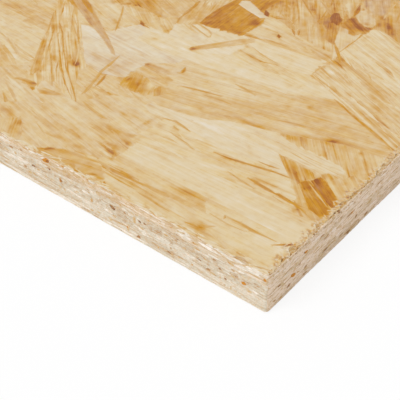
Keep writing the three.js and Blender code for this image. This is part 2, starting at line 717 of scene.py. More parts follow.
# tone (0 bleached, 50 sand, 100 burnt), greyness, grain in degrees, figure, outline, stains
# a stain is: along, across, half length, half width, strength, and its turn where it leaves the grain
cornerFlakes = [
    # one broad strand under all the others
    (38, 10, 12, 50, [(-6, -6), (142, -6), (250, 84), (262, 112), (204, 132), (84, 222), (70, 230),
     (44, 184), (-6, 96)], []),
    # beyond the crossing, far from the corner
    (40, 10, 8, 50, [(196, 70), (262, 84), (268, 104), (236, 112), (206, 106), (192, 88)], []),
    (36, 0, 10, 50, [(204, 92), (226, 88), (262, 96), (258, 118), (214, 112), (203, 104)], [
     (218, 91, 5, 2, 14), (218, 98, 6, 3, -10)]),
    (29, 10, 7, 60, [(176, 44), (236, 66), (262, 78), (258, 84), (210, 80), (190, 74), (174, 52)], [
     (184, 50, 10, 1.6, 10), (200, 57, 10, 2, -6), (190, 60, 10, 1, 6), (200, 68, 12, 1, 6),
     (183, 47, 8, 3, -12), (203, 67, 10, 3, -8), (195, 52.6, 8, 4, -12), (196, 53.4, 8, 2, -8)]),
    (45, 10, 5, 50, [(200, 80.5), (214, 79.5), (240, 80.5), (262, 84), (258, 90), (232, 88.5), (210, 87),
     (202, 84)], [
     (208, 83.5, 3, 2.4, 12), (225, 85.5, 3, 2, 16), (232, 83.3, 3, 1.5, 18), (218, 83, 8, 2, 5),
     (210, 85, 7, 3, -12)]),
    (30, 10, 6, 40, [(203, 71), (236, 74), (255, 82), (240, 81), (215, 79.5), (203, 78)], [
     (205, 77.5, 4, 1.5, 20), (209.6, 78, 1, 4, 14), (222, 76, 7, 2, 15)]),
    (42, 0, 20, 40, [(170, 28), (200, 48), (196, 52), (184, 47), (172, 40), (166, 33)], [
     (189, 45, 6, 1.5, 12), (180, 44, 6, 2, -8), (178, 42, 8, 2, -10)]),
    # the mixed ground right of the smooth strand
    (36, 10, 15, 50, [(128, 16), (150, -6), (176, 26), (182, 36), (172, 48), (150, 44), (134, 37), (122, 34),
     (120, 24)], [
     (150, 22, 9, 5, -6), (165, 24, 8, 2, -8), (172, 32, 8, 2.4, 10, 35), (156, 23, 4, 1.6, -10)]),
    (37, 10, 12, 50, [(96, 9), (120, -6), (150, -6), (158, 14), (148, 24), (128, 24), (110, 22), (98, 16)], [
     (104.5, 13.5, 3.6, 1, 20, -8), (115, 13, 3, 1, 16), (121, 12.5, 2, 1, 16), (126, 6, 8, 4, -8),
     (150, 18.6, 7, 1.4, 14), (104, 12, 5, 2, 8), (118, 7.5, 5, 1, -8, -10), (146.6, 13.2, 3.4, 1.6, 28, 30),
     (150.6, 12.4, 2.4, 1.8, 24), (140, 21.4, 7, 2, -16)]),
    (46, 10, 12, 40, [(103, 21.6), (104, 17.6), (112, 17.4), (119, 19), (112, 21.4)], [
     (109, 18.6, 6, 1, 12)]),
    (32, 20, 14, 70, [(112, 21), (122, 20), (150, 26), (164, 34), (160, 42), (134, 38), (120, 36),
     (108, 32)], []),
    (38, 0, 12, 60, [(104, 36), (113, 34.5), (134, 38), (150, 44), (150, 62), (128, 60), (110, 52),
     (102, 44)], [
     (120, 50, 6, 1.4, 16), (125, 46, 4, 1.5, 12), (122, 41, 9, 3, 6), (135, 41, 6, 3.4, -16),
     (119, 38, 6, 1.2, -20), (132, 49, 3, 1.6, -12), (128.8, 52.6, 4, 1.8, 30)]),
    (34, 15, 10, 40, [(90, 34), (98, 33), (112, 36), (128, 42), (124, 50), (108, 57), (96, 56), (89, 50)], [
     (94.6, 44, 0.9, 5, 24, 4), (104, 47.5, 4, 1.4, 14), (107, 42.6, 3, 1, 10), (100, 40, 5, 3, 6),
     (118, 43, 6, 2, 5), (102, 52, 3, 5, -7)]),
    # along the front rim
    (24, 0, 0, 30, [(-4, -4), (50, -4), (47, 4), (41, 9.4), (22, 10.4), (-4, 10)], [
     (5, 3.6, 3, 0.8, 20), (27, 4, 9, 0.9, 16), (13, 0.8, 4, 1, 20), (31, 1.5, 3, 1.6, 20),
     (15, 7, 9, 2, -5), (14, 3.6, 4, 0.7, 10), (34.6, 4.8, 3, 1.3, 30, -15), (33, 0.6, 2.4, 1.6, 14),
     (8, 0.8, 7, 1.1, 12), (33.6, 5.8, 2.2, 1.3, 22, -50), (35, 7.2, 2.4, 1.2, 14), (5, 0.6, 6, 1.6, 14),
     (30, 0.6, 4, 1.4, 14)]),
    (25, 0, 1, 30, [(-4, 10), (22, 10.4), (40, 10), (42, 14), (41.4, 20.5), (20, 20), (-4, 20)], [
     (6, 12, 5, 3, -6), (37, 18, 4, 2, 6), (24, 13.5, 7, 1.5, 6), (20, 10.8, 5, 0.6, 10), (22, 17, 7, 2, -6),
     (12, 14, 10, 5, -5), (8, 14, 12, 5, -5), (2, 14, 4, 8, -10)]),
    (32, 0, 3, 60, [(46, -4), (92, -4), (88, 9), (72, 9.8), (60, 10.2), (40, 9.4), (34, 7.6), (40, 3)], [
     (70, 4.8, 8, 1.3, -8), (60, 3, 6, 2, -8), (45, 7.4, 5, 2, -14), (52, 0.6, 8, 1, -16),
     (35.4, 7.2, 2.4, 1.2, 14), (69, 1.4, 7, 1.6, -10), (42, 9, 5, 1, 10)]),
    (32, 0, 2, 40, [(36, 11.8), (48, 11.2), (62, 11), (92, 11.5), (89.5, 20.5), (52, 20.5), (42, 20.2),
     (41, 16.6), (38, 13)], [
     (50, 18, 4.6, 1.8, 30), (54, 13, 5, 1.2, 14), (72, 15, 10, 3, 4), (82, 17, 8, 3, 8),
     (45, 12.4, 4, 1.6, 14), (58, 16.6, 6, 1.2, 10), (80, 15, 8, 3, -12), (43.6, 18, 4, 2, 10),
     (68, 15, 14, 3, -7), (52, 16.6, 5, 1.6, 8), (53, 16.4, 6, 1.4, 6)]),
    (48, 0, -10, 50, [(82, -3), (81, 5), (86, 9), (93, 12.4), (99, 11.6), (107, 8.8), (113, 5.4), (118, 1),
     (112, -0.4), (99, -2)], [
     (98, 3, 3.5, 1.2, 20, 35), (91, 4.5, 3, 2, 10), (84, 6, 2, 2, 10), (113, 5, 3.2, 1.2, 26, -35),
     (97, 8, 6, 2, -6), (108, 7, 5, 1.4, 12), (95, 11.6, 4, 1.6, -10), (93, 12, 4, 1.4, -14),
     (106, 0.4, 8, 0.9, -20, 0), (115, 4, 3, 2, 16), (88.6, 9.6, 4, 1.6, -14), (114, 3.6, 2.4, 2, 10),
     (84, 0.6, 2, 1.4, -10), (89.6, 9.6, 4, 1.6, -10), (112, 4, 3, 3, 6), (104, 6, 4, 1.6, -8)]),
    (38, 0, 52, 50, [(124, -4), (140, -4), (146, 6), (140, 13.5), (135, 10), (129, 4.5)], [
     (137, 10.5, 3.5, 1.6, 28), (131, 5, 3, 1.2, 20, 10), (136, 4, 5, 1, 10), (130, 5.4, 2.4, 1.4, 14)]),
    # the smooth straw strand and what crosses its far end
    (18, 10, 0, 5, [(-4, 33.5), (-4, 20), (30, 19.8), (60, 20.4), (89, 19.4), (89.2, 30.8), (60, 33.4),
     (30, 34)], [
     (6.5, 29.1, 2.2, 0.6, 20), (22, 21, 6, 2, -5), (14, 30.4, 14, 2.6, 12), (2, 19, 4, 5, -10)]),
    (34, 10, 12, 50, [(87.6, 35.4), (87.3, 15.6), (97, 15), (112, 20), (134, 24), (150, 31), (135, 37),
     (120, 35), (107, 33.2), (99, 32)], [
     (92.5, 23.4, 3, 1.2, 26), (96.5, 21.3, 2.4, 1, 34), (91, 18.5, 3, 1.2, 30, 0), (91, 27.8, 2.4, 1.5, 30),
     (93, 32.6, 4, 1.4, 30, 0), (101, 27, 4, 3, 6), (107, 28, 4, 1.2, 16), (122, 29, 9, 2.5, -8),
     (104, 30.8, 6, 0.9, 20), (92, 21, 3, 3, 8), (101, 31.4, 6, 2.2, 12), (133, 35, 5, 3, -12),
     (104, 24, 6, 2, 5), (89.8, 27, 1.6, 2.4, 14), (94.6, 21.4, 4, 2, 14), (101, 30.6, 7, 1, 14),
     (131, 31, 8, 4, -8), (103, 24.6, 8, 2, 8), (92, 17.4, 5, 2, 8), (128, 24.8, 7, 1.6, -14)]),
    # the yellow strands behind it
    (24, 0, -4, 50, [(12, 33), (40, 33.5), (60, 33), (91, 30), (91, 51.6), (60, 49.6), (33, 51), (22, 50.5),
     (15, 41)], [
     (30, 41.2, 5, 1, 20), (35, 41, 2, 1, 16), (82.5, 48.4, 2.2, 0.7, 30, 20), (86, 47, 3, 2, -10),
     (87, 38.6, 1.2, 1, 20), (79, 31.8, 1.6, 0.9, 20), (66, 47.5, 4, 1, 10), (64, 38, 5, 2, -6),
     (40, 46, 8, 2, 5), (24, 47, 5, 2.4, -6), (88.5, 46.6, 1.4, 1.4, 14), (66, 36, 16, 1.6, -7, 0),
     (58, 48, 24, 1.4, -6, 0), (55.5, 35.2, 3, 1, -12), (71, 48.4, 3, 1, -14), (78, 36, 3, 1.2, -12),
     (22, 35, 12, 1.6, 8), (80, 38.6, 6, 1.6, -6), (89.4, 32.6, 1.6, 1.6, 20), (51, 42, 6, 1.2, -8),
     (70, 46.4, 6, 1, -8)]),
    # pale strands under the broad tan one
    (16, 30, 2, 30, [(22, 50), (36, 50.6), (60, 49.4), (72, 50.5), (91, 51.6), (99, 51), (104.6, 53.4),
     (103, 58), (98, 58.2), (90, 59.4), (80, 61.4), (60, 61.2), (45, 61.6), (36, 60.6)], [
     (76, 57, 8, 3, -12), (50, 56, 3, 1.2, 14, 40), (104, 54, 6, 3, 8), (88, 52.6, 6, 1.6, 10),
     (98, 56, 8, 2.4, 10), (50, 54, 6, 2.4, 8)]),
    (19, 20, 4, 70, [(13, 61), (20, 60), (38, 60.2), (46, 61.2), (62, 60.7), (82, 60.6), (74, 66), (64, 70),
     (56, 72.4), (44, 73), (34, 71), (16, 69), (10, 66)], [
     (37.5, 64.4, 1.6, 0.8, 40), (42, 61.4, 6, 0.7, 12), (41, 71.6, 7, 1.4, 16), (12.4, 63, 2, 1.2, 12),
     (36, 64, 5, 3, 10)]),
    # finely ridged triangle
    (44, 0, 50, 81, [(-4, 66), (9, 60.4), (11, 66), (14, 68.2), (28, 69.2), (40, 69.6), (48, 72.6),
     (30, 79.4), (12, 86.6), (-4, 88)], [
     (40, 73, 6, 2, 20, -20), (12.4, 80.6, 1, 0.8, 40), (5, 81, 5, 3, -10, 0), (2, 73, 3, 8, -12, 0),
     (18, 76.5, 5, 3.4, 6), (24, 79.4, 9, 1.4, 12, -15)]),
    # striped brown pieces at the short rim
    (36, 0, 40, 70, [(-4, 66), (-4, 34), (4, 32.6), (14, 32.8), (16, 40), (20, 46), (20.5, 52), (18, 58),
     (15.5, 61.4), (10, 60.5), (8, 65)], [
     (2, 60, 3, 4, 6), (12.8, 34.5, 1.6, 0.8, 30, 80), (7.6, 65, 1.5, 1, 30), (6, 56, 4, 1, 20),
     (4, 34, 5, 1, 12, 10), (6, 59, 4, 0.8, 14), (3, 53.4, 4, 1, -10), (12.6, 59, 3.4, 0.7, 26),
     (13.1, 38.6, 1, 0.6, 40), (10, 55.8, 5, 1.2, -10), (15.6, 58.6, 1.6, 1.4, 20), (3, 36, 3, 2, 12),
     (9, 38.4, 4, 2, 16), (6, 63, 4, 2.4, 12)]),
    (79, -15, 36, 25, [(2.4, 46.4), (2.8, 48), (5, 50.4), (10, 54), (14.4, 56.8), (16.2, 57.2), (17.6, 55),
     (18.4, 53), (14.8, 50.6), (10, 47.6), (5, 44.4), (3, 43.4), (2.2, 44.8)], [
     (16.4, 54.4, 2.2, 1.4, 20), (12, 53.8, 3, 0.9, -12)]),
    (72, -10, 37, 40, [(2.2, 42.6), (5, 44.4), (10, 47.8), (15, 50.8), (18.6, 52.6), (21, 50.6),
     (20.8, 48.6), (14, 42.4), (9, 37.6), (4, 36.6), (1.6, 38.6)], [
     (17, 49, 3, 2, 10)]),
    (50, 0, 44, 86, [(17.6, 54.8), (20, 57.8), (26, 58.8), (33, 59.6), (38.6, 60.4), (33, 55.6), (27, 50.6),
     (22, 45.8), (16.4, 41), (13.6, 38.4), (11.6, 38), (20.8, 48), (21.2, 50.6), (18.8, 52.6)], [
     (22.4, 57, 3, 1, 16), (31.6, 56.6, 5, 0.9, 18), (26, 52.2, 4, 1.4, 12), (24, 54, 5, 2, 6),
     (22.5, 47.5, 3, 1.4, -14)]),
    # the long tan strand that crosses the middle
    (39, 10, -9, 35, [(-4, 84), (4, 83.6), (12, 82.8), (20, 82.2), (30, 78.4), (44, 73.4), (52, 70.8),
     (60, 69.2), (68, 66.4), (76, 62), (81, 60.2), (90, 58.6), (100, 57.2), (107, 59.8), (120, 64),
     (129, 72), (127, 84), (118, 95.8), (108, 96.4), (100, 97.3), (80, 99.4), (60, 99.6), (56, 104),
     (42, 109.4), (36, 107), (30, 104), (20, 99), (10, 94), (4, 91), (-4, 90)], [
     (72, 82, 8, 2, 8), (29, 79, 5, 1, 16), (21, 82, 5, 1.6, 16), (17, 83, 4, 2, 10), (7, 86.2, 5, 1.2, 12),
     (4.5, 91.2, 1.8, 0.8, 36), (47.4, 97, 1.4, 1.2, 30), (55.6, 92, 1.3, 1, 24), (54, 101.6, 2, 1, 20, 30),
     (26, 92, 5, 1.6, 6), (42, 106, 5, 2, 16), (46, 103, 6, 4, 6), (71.4, 69, 1.4, 1, 22),
     (84.5, 67, 3, 1, 14, 20), (76, 93, 4, 2, 8), (100, 86, 12, 6, -8), (40, 79, 8, 1.2, -6),
     (64, 76, 8, 3, 4), (76, 66, 8, 1.6, 6, -32), (104, 74, 8, 2, -6), (30, 98.6, 10, 0.8, -6, 24),
     (77, 68, 4, 1, 10, -40), (76, 88, 10, 4, -6), (58, 70.4, 7, 1.2, 12), (82, 86, 14, 6, -10),
     (80, 94, 10, 4, -6), (106, 80, 10, 4, -6), (36, 99, 7, 3, -7, 20), (80, 98, 8, 1.4, -6),
     (106, 95, 14, 2.4, -12, -3), (84, 88, 5, 1.6, -14), (60, 74, 24, 3, -6, -14),
     (24.5, 82.6, 2.6, 1.2, 14), (26, 80.8, 1.8, 1.4, 34), (27, 82, 12, 3.2, 8), (55, 88, 22, 1.8, 5),
     (98, 80, 14, 4, -8), (92, 66, 12, 2.4, -7), (76, 95.6, 8, 4, -7), (62, 90, 16, 3, -5),
     (23, 81, 10, 2.4, 12), (68, 80, 6, 2, 8), (97, 78.6, 8, 1.2, -10), (31, 84.6, 12, 2, 10),
     (38, 88.6, 8, 1.4, 8)]),
    # pale strands beyond it
    (18, 10, 2, 30, [(43, 109.4), (56, 104), (60, 100.2), (80, 99.6), (100, 97.4), (116, 96), (132, 95.6),
     (150, 95), (166, 97), (160, 110), (150, 112.4), (141, 117), (126, 122), (110, 122), (96, 120),
     (64, 121), (58, 118), (46, 113)], [
     (64.6, 107.4, 1.6, 0.9, 26), (117, 96.3, 9, 0.7, 20, -2), (130, 95.6, 10, 0.7, 12),
     (111, 98.4, 5, 1, -10), (93, 102.4, 4, 1, 12, 45), (52, 105.6, 4, 1.4, 16), (143, 103.4, 1.6, 0.9, 20),
     (150, 100, 8, 5, 8), (56, 112, 8, 4, 4), (106, 105, 8, 3, -8), (80, 102, 8, 3, -5),
     (57, 116.6, 4, 2, 22), (59.4, 100.2, 2.6, 1.4, 26)]),
    (27, 0, 14, 50, [(60, 108.6), (70, 109.8), (84, 111), (104, 113.6), (104.4, 126.4), (103, 128),
     (92, 122.8), (80, 120.2), (64, 121.4), (58, 117.8)], [
     (86, 116, 6, 1, 16), (94.5, 118.6, 3.2, 1.3, 30), (92, 118.4, 6, 0.8, 14), (66, 113, 8, 2, -12, 0),
     (102.6, 125.6, 1.6, 0.9, 30), (102.6, 118, 1, 5, 10), (72, 116, 5, 1, 8), (100, 114, 3, 3, -10)]),
    (16, 10, 0, 20, [(64, 137.2), (63.4, 121.8), (66, 120.4), (76, 119.2), (86, 121.6), (94, 124),
     (103.4, 128), (101.6, 131), (104.4, 136.4), (84, 136.2), (70, 137.6)], [
     (98, 130, 4, 3, 12), (82, 121, 5, 0.7, 14)]),
    (16, 20, 8, 20, [(103.6, 124), (104, 113), (112, 109), (122, 107.6), (122, 120.4), (126, 126.8),
     (137, 130.8), (134, 131.2), (122, 133), (112, 134.6), (107, 133)], [
     (107, 117, 3, 4, -6), (116, 128, 6, 3, 8), (121, 124, 4, 3, 6), (112, 116, 4, 4, 6)]),
    (30, 10, 20, 50, [(122, 121), (126.4, 127), (137.4, 131.2), (147, 135), (149, 131), (148, 126),
     (145, 121), (134, 119)], [
     (138, 128, 7, 1, -16), (132, 126.4, 6, 0.9, -12)]),
    (24, 30, 10, 30, [(122, 121), (120.4, 115), (126, 112), (140, 110), (152, 108), (150, 114), (146, 122),
     (141, 121), (132, 120.6)], [
     (127, 118, 4, 2, 8), (142, 119, 3, 2, -10)]),
    # the honey coloured one across the grain, with the strip that lies over it
    (45, 10, 70, 40, [(134, 131), (139.6, 126), (146, 123), (149, 130), (150.4, 136), (151.4, 142),
     (153, 152), (158, 160), (146, 172), (134, 170)], [
     (142, 158, 4, 5, -14), (144, 150.8, 3, 0.8, 16), (143, 127, 4, 3, -14), (140, 128, 3, 2, 10),
     (149, 152, 4, 3, -14), (146, 136, 5, 8, 5), (142.4, 148.6, 2, 1.4, 12), (142, 157, 1.4, 3, 12),
     (141.5, 134, 2, 3, 12), (146.6, 151.4, 4, 1.4, -10, 30), (149, 152.4, 3, 1.6, -14, 0)]),
    (68, -10, 84, 10, [(111.2, 133), (122, 131.6), (134, 130), (137, 130.6), (138.8, 139), (140, 150),
     (139.6, 165), (134, 176), (124, 184), (120, 180), (118, 164), (111, 151)], [
     (138.2, 144, 1.6, 13, 12, 3), (114, 135, 2, 1.4, 12), (121, 171, 1.4, 10, 8, -5),
     (138, 160, 1.4, 6, 10, 0), (124, 148, 5, 5, -4), (133.4, 132.4, 3, 1.6, 10), (124, 134, 12, 1.8, 8, -6),
     (135.4, 148, 2.2, 10, 6, 3), (114.2, 148.6, 2.4, 3.4, 20, 0), (126, 155, 4, 2.4, -10),
     (116, 151.4, 2, 1.4, 16), (127, 142.5, 2.4, 3, -8), (134.5, 136, 3, 6, 12, 0), (136, 152, 2, 5, -8, 0),
     (113, 154, 3, 2, -16), (113, 141, 2, 5, -12, 0)]),
    (30, 60, 18, 40, [(113.6, 157), (116, 155), (126, 158), (135, 161.4), (136, 166.4), (133, 168.6),
     (126, 165), (119.6, 161.4), (114, 159.6)], [
     (121, 157.5, 5, 2, -8), (118, 160, 3, 1.6, 14)]),
    # top of the view: tan strands laid steeply
    (54, 10, 56, 80, [(64, 140), (90, 148), (104, 156), (113, 160), (119, 161.5), (120, 180), (112, 194),
     (98, 206), (84, 214), (72, 200), (64, 172)], [
     (99.6, 180.4, 1.4, 1, 24), (93.6, 195, 2.6, 1.2, 22), (85, 207, 2, 1, 20), (90, 178, 4, 6, 10),
     (104, 176, 10, 2, -16), (110, 170, 10, 1.6, 10), (108, 188, 6, 2, 8), (112, 180, 7, 2, 10),
     (85, 192, 7, 2.4, -14), (92, 199, 6, 1.2, -8), (74, 151, 5, 3, -10, 0), (97, 174, 6, 1.4, -12),
     (99, 172, 9, 3, -16), (88, 161, 5, 3, -10), (88, 204, 5, 2, -14), (94, 183, 5, 2, -10),
     (80, 151.4, 11, 4, -18, 14), (91, 161, 6, 4, -14), (97, 192, 4, 3, -10), (107, 188, 3, 2, -10),
     (101, 182, 4, 2, 10), (115, 177, 4, 5, 12), (101.6, 184, 6, 1.6, 14), (118.4, 177.5, 1.6, 3, 16, 0),
     (84.5, 186, 4, 2.4, -20), (89, 194, 5, 3, -16), (89, 200.5, 3, 2, -14), (80.6, 186, 1.6, 5, -12, 0),
     (97, 169, 8, 2, -6), (86, 191, 4, 2, -10), (105, 166, 4, 1.6, -12), (107.6, 177, 4, 1.6, -12),
     (117, 174, 1.2, 3, -14, 0), (95, 164, 7, 2, 16), (84, 200, 7, 5, -20), (101, 182, 7, 5, -8),
     (92, 177, 3, 3, -8)]),
    (42, 0, 60, 50, [(111, 160), (115, 160.2), (117, 164), (116.4, 170), (115.6, 172.6), (112, 169),
     (109.6, 164)], [
     (113, 166, 1.4, 6, 10, -10), (113, 163, 3, 3, -16)]),
    (34, 10, 15, 50, [(62, 136.6), (70, 138.4), (84, 140.6), (96, 146), (105, 150), (111, 151.6), (113, 157),
     (113, 160), (104, 158), (92, 152), (82, 148.6), (70, 146), (63, 146)], [
     (76, 141.6, 5, 0.9, 16), (68, 142, 4, 2.4, 10), (90, 148.6, 5, 0.9, 12), (104, 154, 6, 3, -10),
     (68, 138.4, 4, 1.6, 14), (84, 145, 8, 1.2, 6), (65, 143.5, 1.4, 2.4, 12)]),
    (30, 10, 3, 40, [(80, 138), (92, 136.4), (104, 136), (111.4, 135), (111.2, 150.6), (104, 150),
     (96, 145.6), (84, 140.6)], [
     (96.4, 144, 1.5, 1.1, 50, 60), (109, 136, 3.6, 0.9, 26), (106, 142, 4, 3, -6), (108, 136, 5, 1.4, 14),
     (100, 145, 8, 1.4, 8), (106, 147, 6, 0.7, 14), (108, 149.2, 4.4, 1, -16), (99, 143.4, 3.4, 3.4, 12)]),
    (41, 0, 2, 50, [(66, 135.4), (80, 135.4), (92, 134.6), (105, 134.8), (100, 137.6), (88, 139),
     (76, 138.6), (68, 138)], [
     (91, 137.2, 4, 0.9, 16), (84, 138.4, 2, 1, -20), (75, 136.6, 4, 1, -12)]),
    # brown and burnt pieces near the top
    (52, 10, 60, 60, [(44, 176), (52, 172), (64, 174), (66, 184), (70, 196), (78, 206), (84, 216), (70, 230),
     (56, 206)], [
     (58.6, 187.4, 4, 1.6, 34), (55, 183, 5, 2.6, 16), (66, 194.4, 2.6, 1.4, 26), (64, 184, 1.4, 6, 10, 0),
     (66, 212, 5, 1.6, -10), (58, 196, 5, 1.2, 8), (53, 181, 4, 2, 16), (64, 188, 4, 3, 14),
     (67, 203.6, 7, 2.2, -16), (59, 189, 4, 2, 14), (64, 197, 5, 2, 12), (61, 201, 5, 1.6, -8),
     (70, 216, 3, 2, -12)]),
    (57, 50, 58, 50, [(68, 196), (74, 196), (80, 200), (84, 206), (86, 214), (76, 222), (70, 210),
     (67, 200)], [
     (74, 211, 5, 2.4, -12)]),
    (72, 0, 35, 30, [(64, 180), (64.4, 174), (66.4, 172.4), (68, 167.6), (70.6, 167.8), (72.6, 172),
     (78.6, 173), (79.2, 186), (77.6, 187.6), (72, 184), (66, 181)], [
     (69, 177, 4, 1.8, 24, 10), (76, 181.4, 5, 1, 10), (77.4, 183.8, 2.6, 0.9, 18), (73, 180, 4, 2, 12),
     (67, 172, 3, 3, -25)]),
    (36, 30, 60, 40, [(64.6, 181.4), (68, 180.4), (73, 182.8), (77, 186.4), (79, 188.6), (79.2, 195.6),
     (77.4, 199.6), (73, 197), (68, 190), (65, 186)], [
     (75, 190, 4, 2.4, -10), (77, 198, 5, 1.4, 12), (72, 183.6, 3, 1.6, 10), (69.4, 183.2, 1.6, 1.2, 32)]),
    (28, 20, 62, 40, [(62.8, 140), (66, 146), (70, 153), (72.6, 159), (75.4, 165.6), (78.4, 172.4),
     (73.4, 172), (71, 168.4), (68, 167.4), (66, 171.8), (63.6, 172)], [
     (66, 150, 4, 2, 10), (66, 158, 5, 3, 14), (77, 171, 5, 2.4, 28, 25)]),
    (62, 10, 62, 40, [(70, 153), (74, 154.6), (79.4, 157), (81.6, 165), (85, 168), (91, 170.4), (91, 179),
     (88.6, 185), (84.6, 182.6), (81.6, 179), (78.8, 173), (75.2, 164)], [
     (73.6, 156, 3, 1.6, 14), (85, 171, 4, 3, 12), (80, 169, 3, 1.4, 10), (82, 167, 4, 3, 8),
     (85, 173, 5, 5, 8)]),
    (90, 0, 62, 20, [(79.4, 173), (84.2, 173.4), (87.8, 178), (89.4, 184.6), (86.6, 185.2),
     (81.4, 179.4)], []),
    # the ridged strand on the left
    (24, 10, 27, 88, [(-6, 96), (4, 90.6), (10, 94), (20, 99), (30, 103.6), (36, 106.6), (42, 109.2),
     (47, 113), (58, 119), (62.6, 122), (63.8, 130), (61, 134), (62.4, 142), (64, 152), (63.8, 172),
     (63.4, 180.6), (58, 181), (50, 177), (24, 160), (-4, 118)], [
     (46, 126, 14, 7, 14), (24, 115, 4, 2, 14, 60), (30, 121, 3, 1.6, 14), (45, 115.4, 3, 1, 26),
     (57, 129, 4, 1.8, -30, 0), (29, 129, 5, 3, 10), (61, 143, 3.4, 2.4, 30), (63.6, 124, 1, 4, 24, 0),
     (62.6, 133, 0.9, 4, 30, -20), (46, 169, 6, 4, 12), (55, 172, 4, 1, 14), (42, 136, 10, 3, 8),
     (43, 151, 2, 2, 12), (58, 138, 5, 0.9, 20), (36, 152, 5, 4, 6), (40, 163, 4, 2, 8),
     (56, 119.4, 8, 0.9, 16, 22), (16, 101, 22, 6, 17), (26, 115, 7, 3, 14, 15), (58, 141, 6, 3.4, 14),
     (54, 116, 5, 2, 12), (36, 152, 6, 1.4, 8), (42, 120, 5, 2, -10), (36, 116, 10, 3, 5),
     (47, 121, 4, 2, -8), (48, 176, 8, 2, 10), (48, 170, 10, 2, 6), (61.6, 170, 1.6, 4, 16, 0),
     (56, 151, 7, 3, -10), (22, 127, 8, 4, 12), (40, 131, 10, 2.4, 18), (48, 128, 3.4, 2, 20),
     (60.4, 126, 1.6, 2.4, 16), (26, 122.5, 13, 2.6, 13, 20), (34, 138, 10, 2, -12), (55, 137.5, 5, 2.4, 14),
     (4, 94, 3, 2.4, 14), (20, 108, 13, 5, 8), (16, 115, 6, 2.4, 8), (48.6, 128.4, 2.6, 2, 20),
     (28, 129, 4, 2, 8), (61, 136, 2.6, 4, 12), (45.6, 145.4, 3, 1.6, 12), (35, 152, 5, 3, -8),
     (18, 114, 12, 6, 16), (36, 122.4, 6, 2.4, 10), (56, 139, 6, 3.4, 6)]),
    # the narrow tan one that ends in a dark tip
    (44, 10, -58, 30, [(104, 130.6), (107.4, 132.2), (110.2, 129.4), (117, 118.4), (123.4, 108.6),
     (123.6, 106), (121.4, 104.4), (119.2, 106.8), (112, 116.6), (104.2, 127)], [
     (122.2, 107.4, 2, 1.4, 36, 0), (120.4, 110, 2.4, 1.6, 20), (107.6, 129, 2.4, 1.2, 14, 30),
     (109, 124, 7, 2, -8), (121.8, 105.6, 2, 1.6, 20)]),
    # right of the quad and beyond
    (42, 10, 24, 70, [(150, 155), (152.6, 152), (151.8, 146), (150.6, 141), (149.8, 134), (148.4, 129.2),
     (158, 128.4), (172, 132), (188, 128), (186, 140), (164, 156)], [
     (156, 137, 8, 1.2, -12), (166, 138, 8, 1.2, 16), (160, 134, 10, 1.2, 10), (156, 145, 6, 2, -6),
     (153, 152, 2, 1.4, -14), (153, 130, 6, 1.2, 16, 8)]),
    (60, 0, 26, 60, [(157, 121.8), (165, 121.2), (176, 121.2), (181, 120.8), (191, 123.4), (182, 134),
     (170, 141), (167, 135), (160, 128)], [
     (177, 128, 3, 1.6, 12), (181, 125, 1.8, 1, 22), (173.4, 132.6, 4, 2, 14), (163, 129, 4, 1.6, -10),
     (174, 131.6, 4, 1.6, 10), (165, 131, 5, 2, -12), (184, 126.6, 2, 1.6, -18), (172, 133, 6, 2.4, -16)]),
    (38, 0, 34, 60, [(141, 111), (158, 112), (164, 114), (174, 116), (184, 122), (176, 126.4), (165, 124.6),
     (155, 123), (149, 131), (146.6, 123.6)], [
     (152, 117, 10, 1.2, 12), (146, 114.6, 5, 1.4, 8), (165, 119, 8, 1, 14), (160, 120.4, 6, 1, -8),
     (172, 119, 8, 1.2, -10), (160.4, 112.6, 3, 1.4, 20), (143, 115, 3, 3, 12), (142, 117, 2, 5, 14),
     (149, 113.4, 6, 1.6, -10), (168, 124, 6, 1.6, 14, 20), (180, 124, 4, 2, 12)]),
    (30, 10, 20, 40, [(158, 111), (164, 106), (168, 98), (186, 93), (196, 98), (204, 106), (200, 118),
     (190, 124), (184, 121.6), (172, 115.6)], [
     (172, 105, 4, 1.6, 18), (186, 116, 6, 3, -10), (190, 107, 5, 3, 16), (179, 112, 4, 3, -6),
     (163, 111.4, 4, 1.8, 14), (168, 112, 5, 2, 10), (189, 121, 2, 2, 22), (186, 116, 4, 2, -10)]),
    # greyed pale strands of the middle
    (26, 60, 5, 40, [(117, 96), (119, 90), (127, 84), (129.6, 74), (128, 66), (141, 61), (152, 64),
     (166, 76), (180, 87.6), (183.4, 91.2), (180, 93), (172, 92), (166, 95), (163, 104), (158, 112),
     (152, 106), (150, 97), (132, 96)], [
     (136, 87, 3, 1.2, 16, 40), (134, 92, 8, 2, -8), (175, 90, 8, 3, -16), (168, 88, 5, 2, -8),
     (137, 76, 3, 1.4, 16), (140, 72, 6, 1, 8), (156, 70, 8, 2, 10), (162, 93, 8, 2, 6), (123, 92, 4, 2, 14),
     (158, 104, 1, 4, 10), (153, 96, 1, 4, 10), (138, 70, 8, 4, 14), (138, 80, 8, 3, 12),
     (152, 72, 8, 3, 16, 20), (155, 90, 4, 3, 6), (176, 90, 7, 2.4, -6), (134, 66.6, 5, 2.4, 20),
     (145, 75, 1.4, 3.4, 18), (136.4, 74, 2.4, 1.2, 12), (120.4, 90.6, 2.4, 1.6, 14),
     (138.8, 66, 1.6, 5, 12), (146, 88, 6, 3, -8), (146, 74.6, 2, 3, 10), (137, 76, 4, 2.4, 8)]),
    (36, 10, 12, 50, [(120, 53), (134, 50), (150, 52), (158, 60), (152, 64), (141, 61.6), (134, 62),
     (127, 60)], [
     (137, 58, 2.2, 5, 16, -10), (144, 56, 6, 2, -6)]),
    (34, 30, -2, 50, [(112, 83), (116, 80), (129, 79), (129.4, 84), (118, 86), (112, 92)], [
     (123, 82.4, 6, 0.7, 24), (128.4, 81.6, 1, 1.6, 30), (117, 82, 1.6, 1, 16)]),
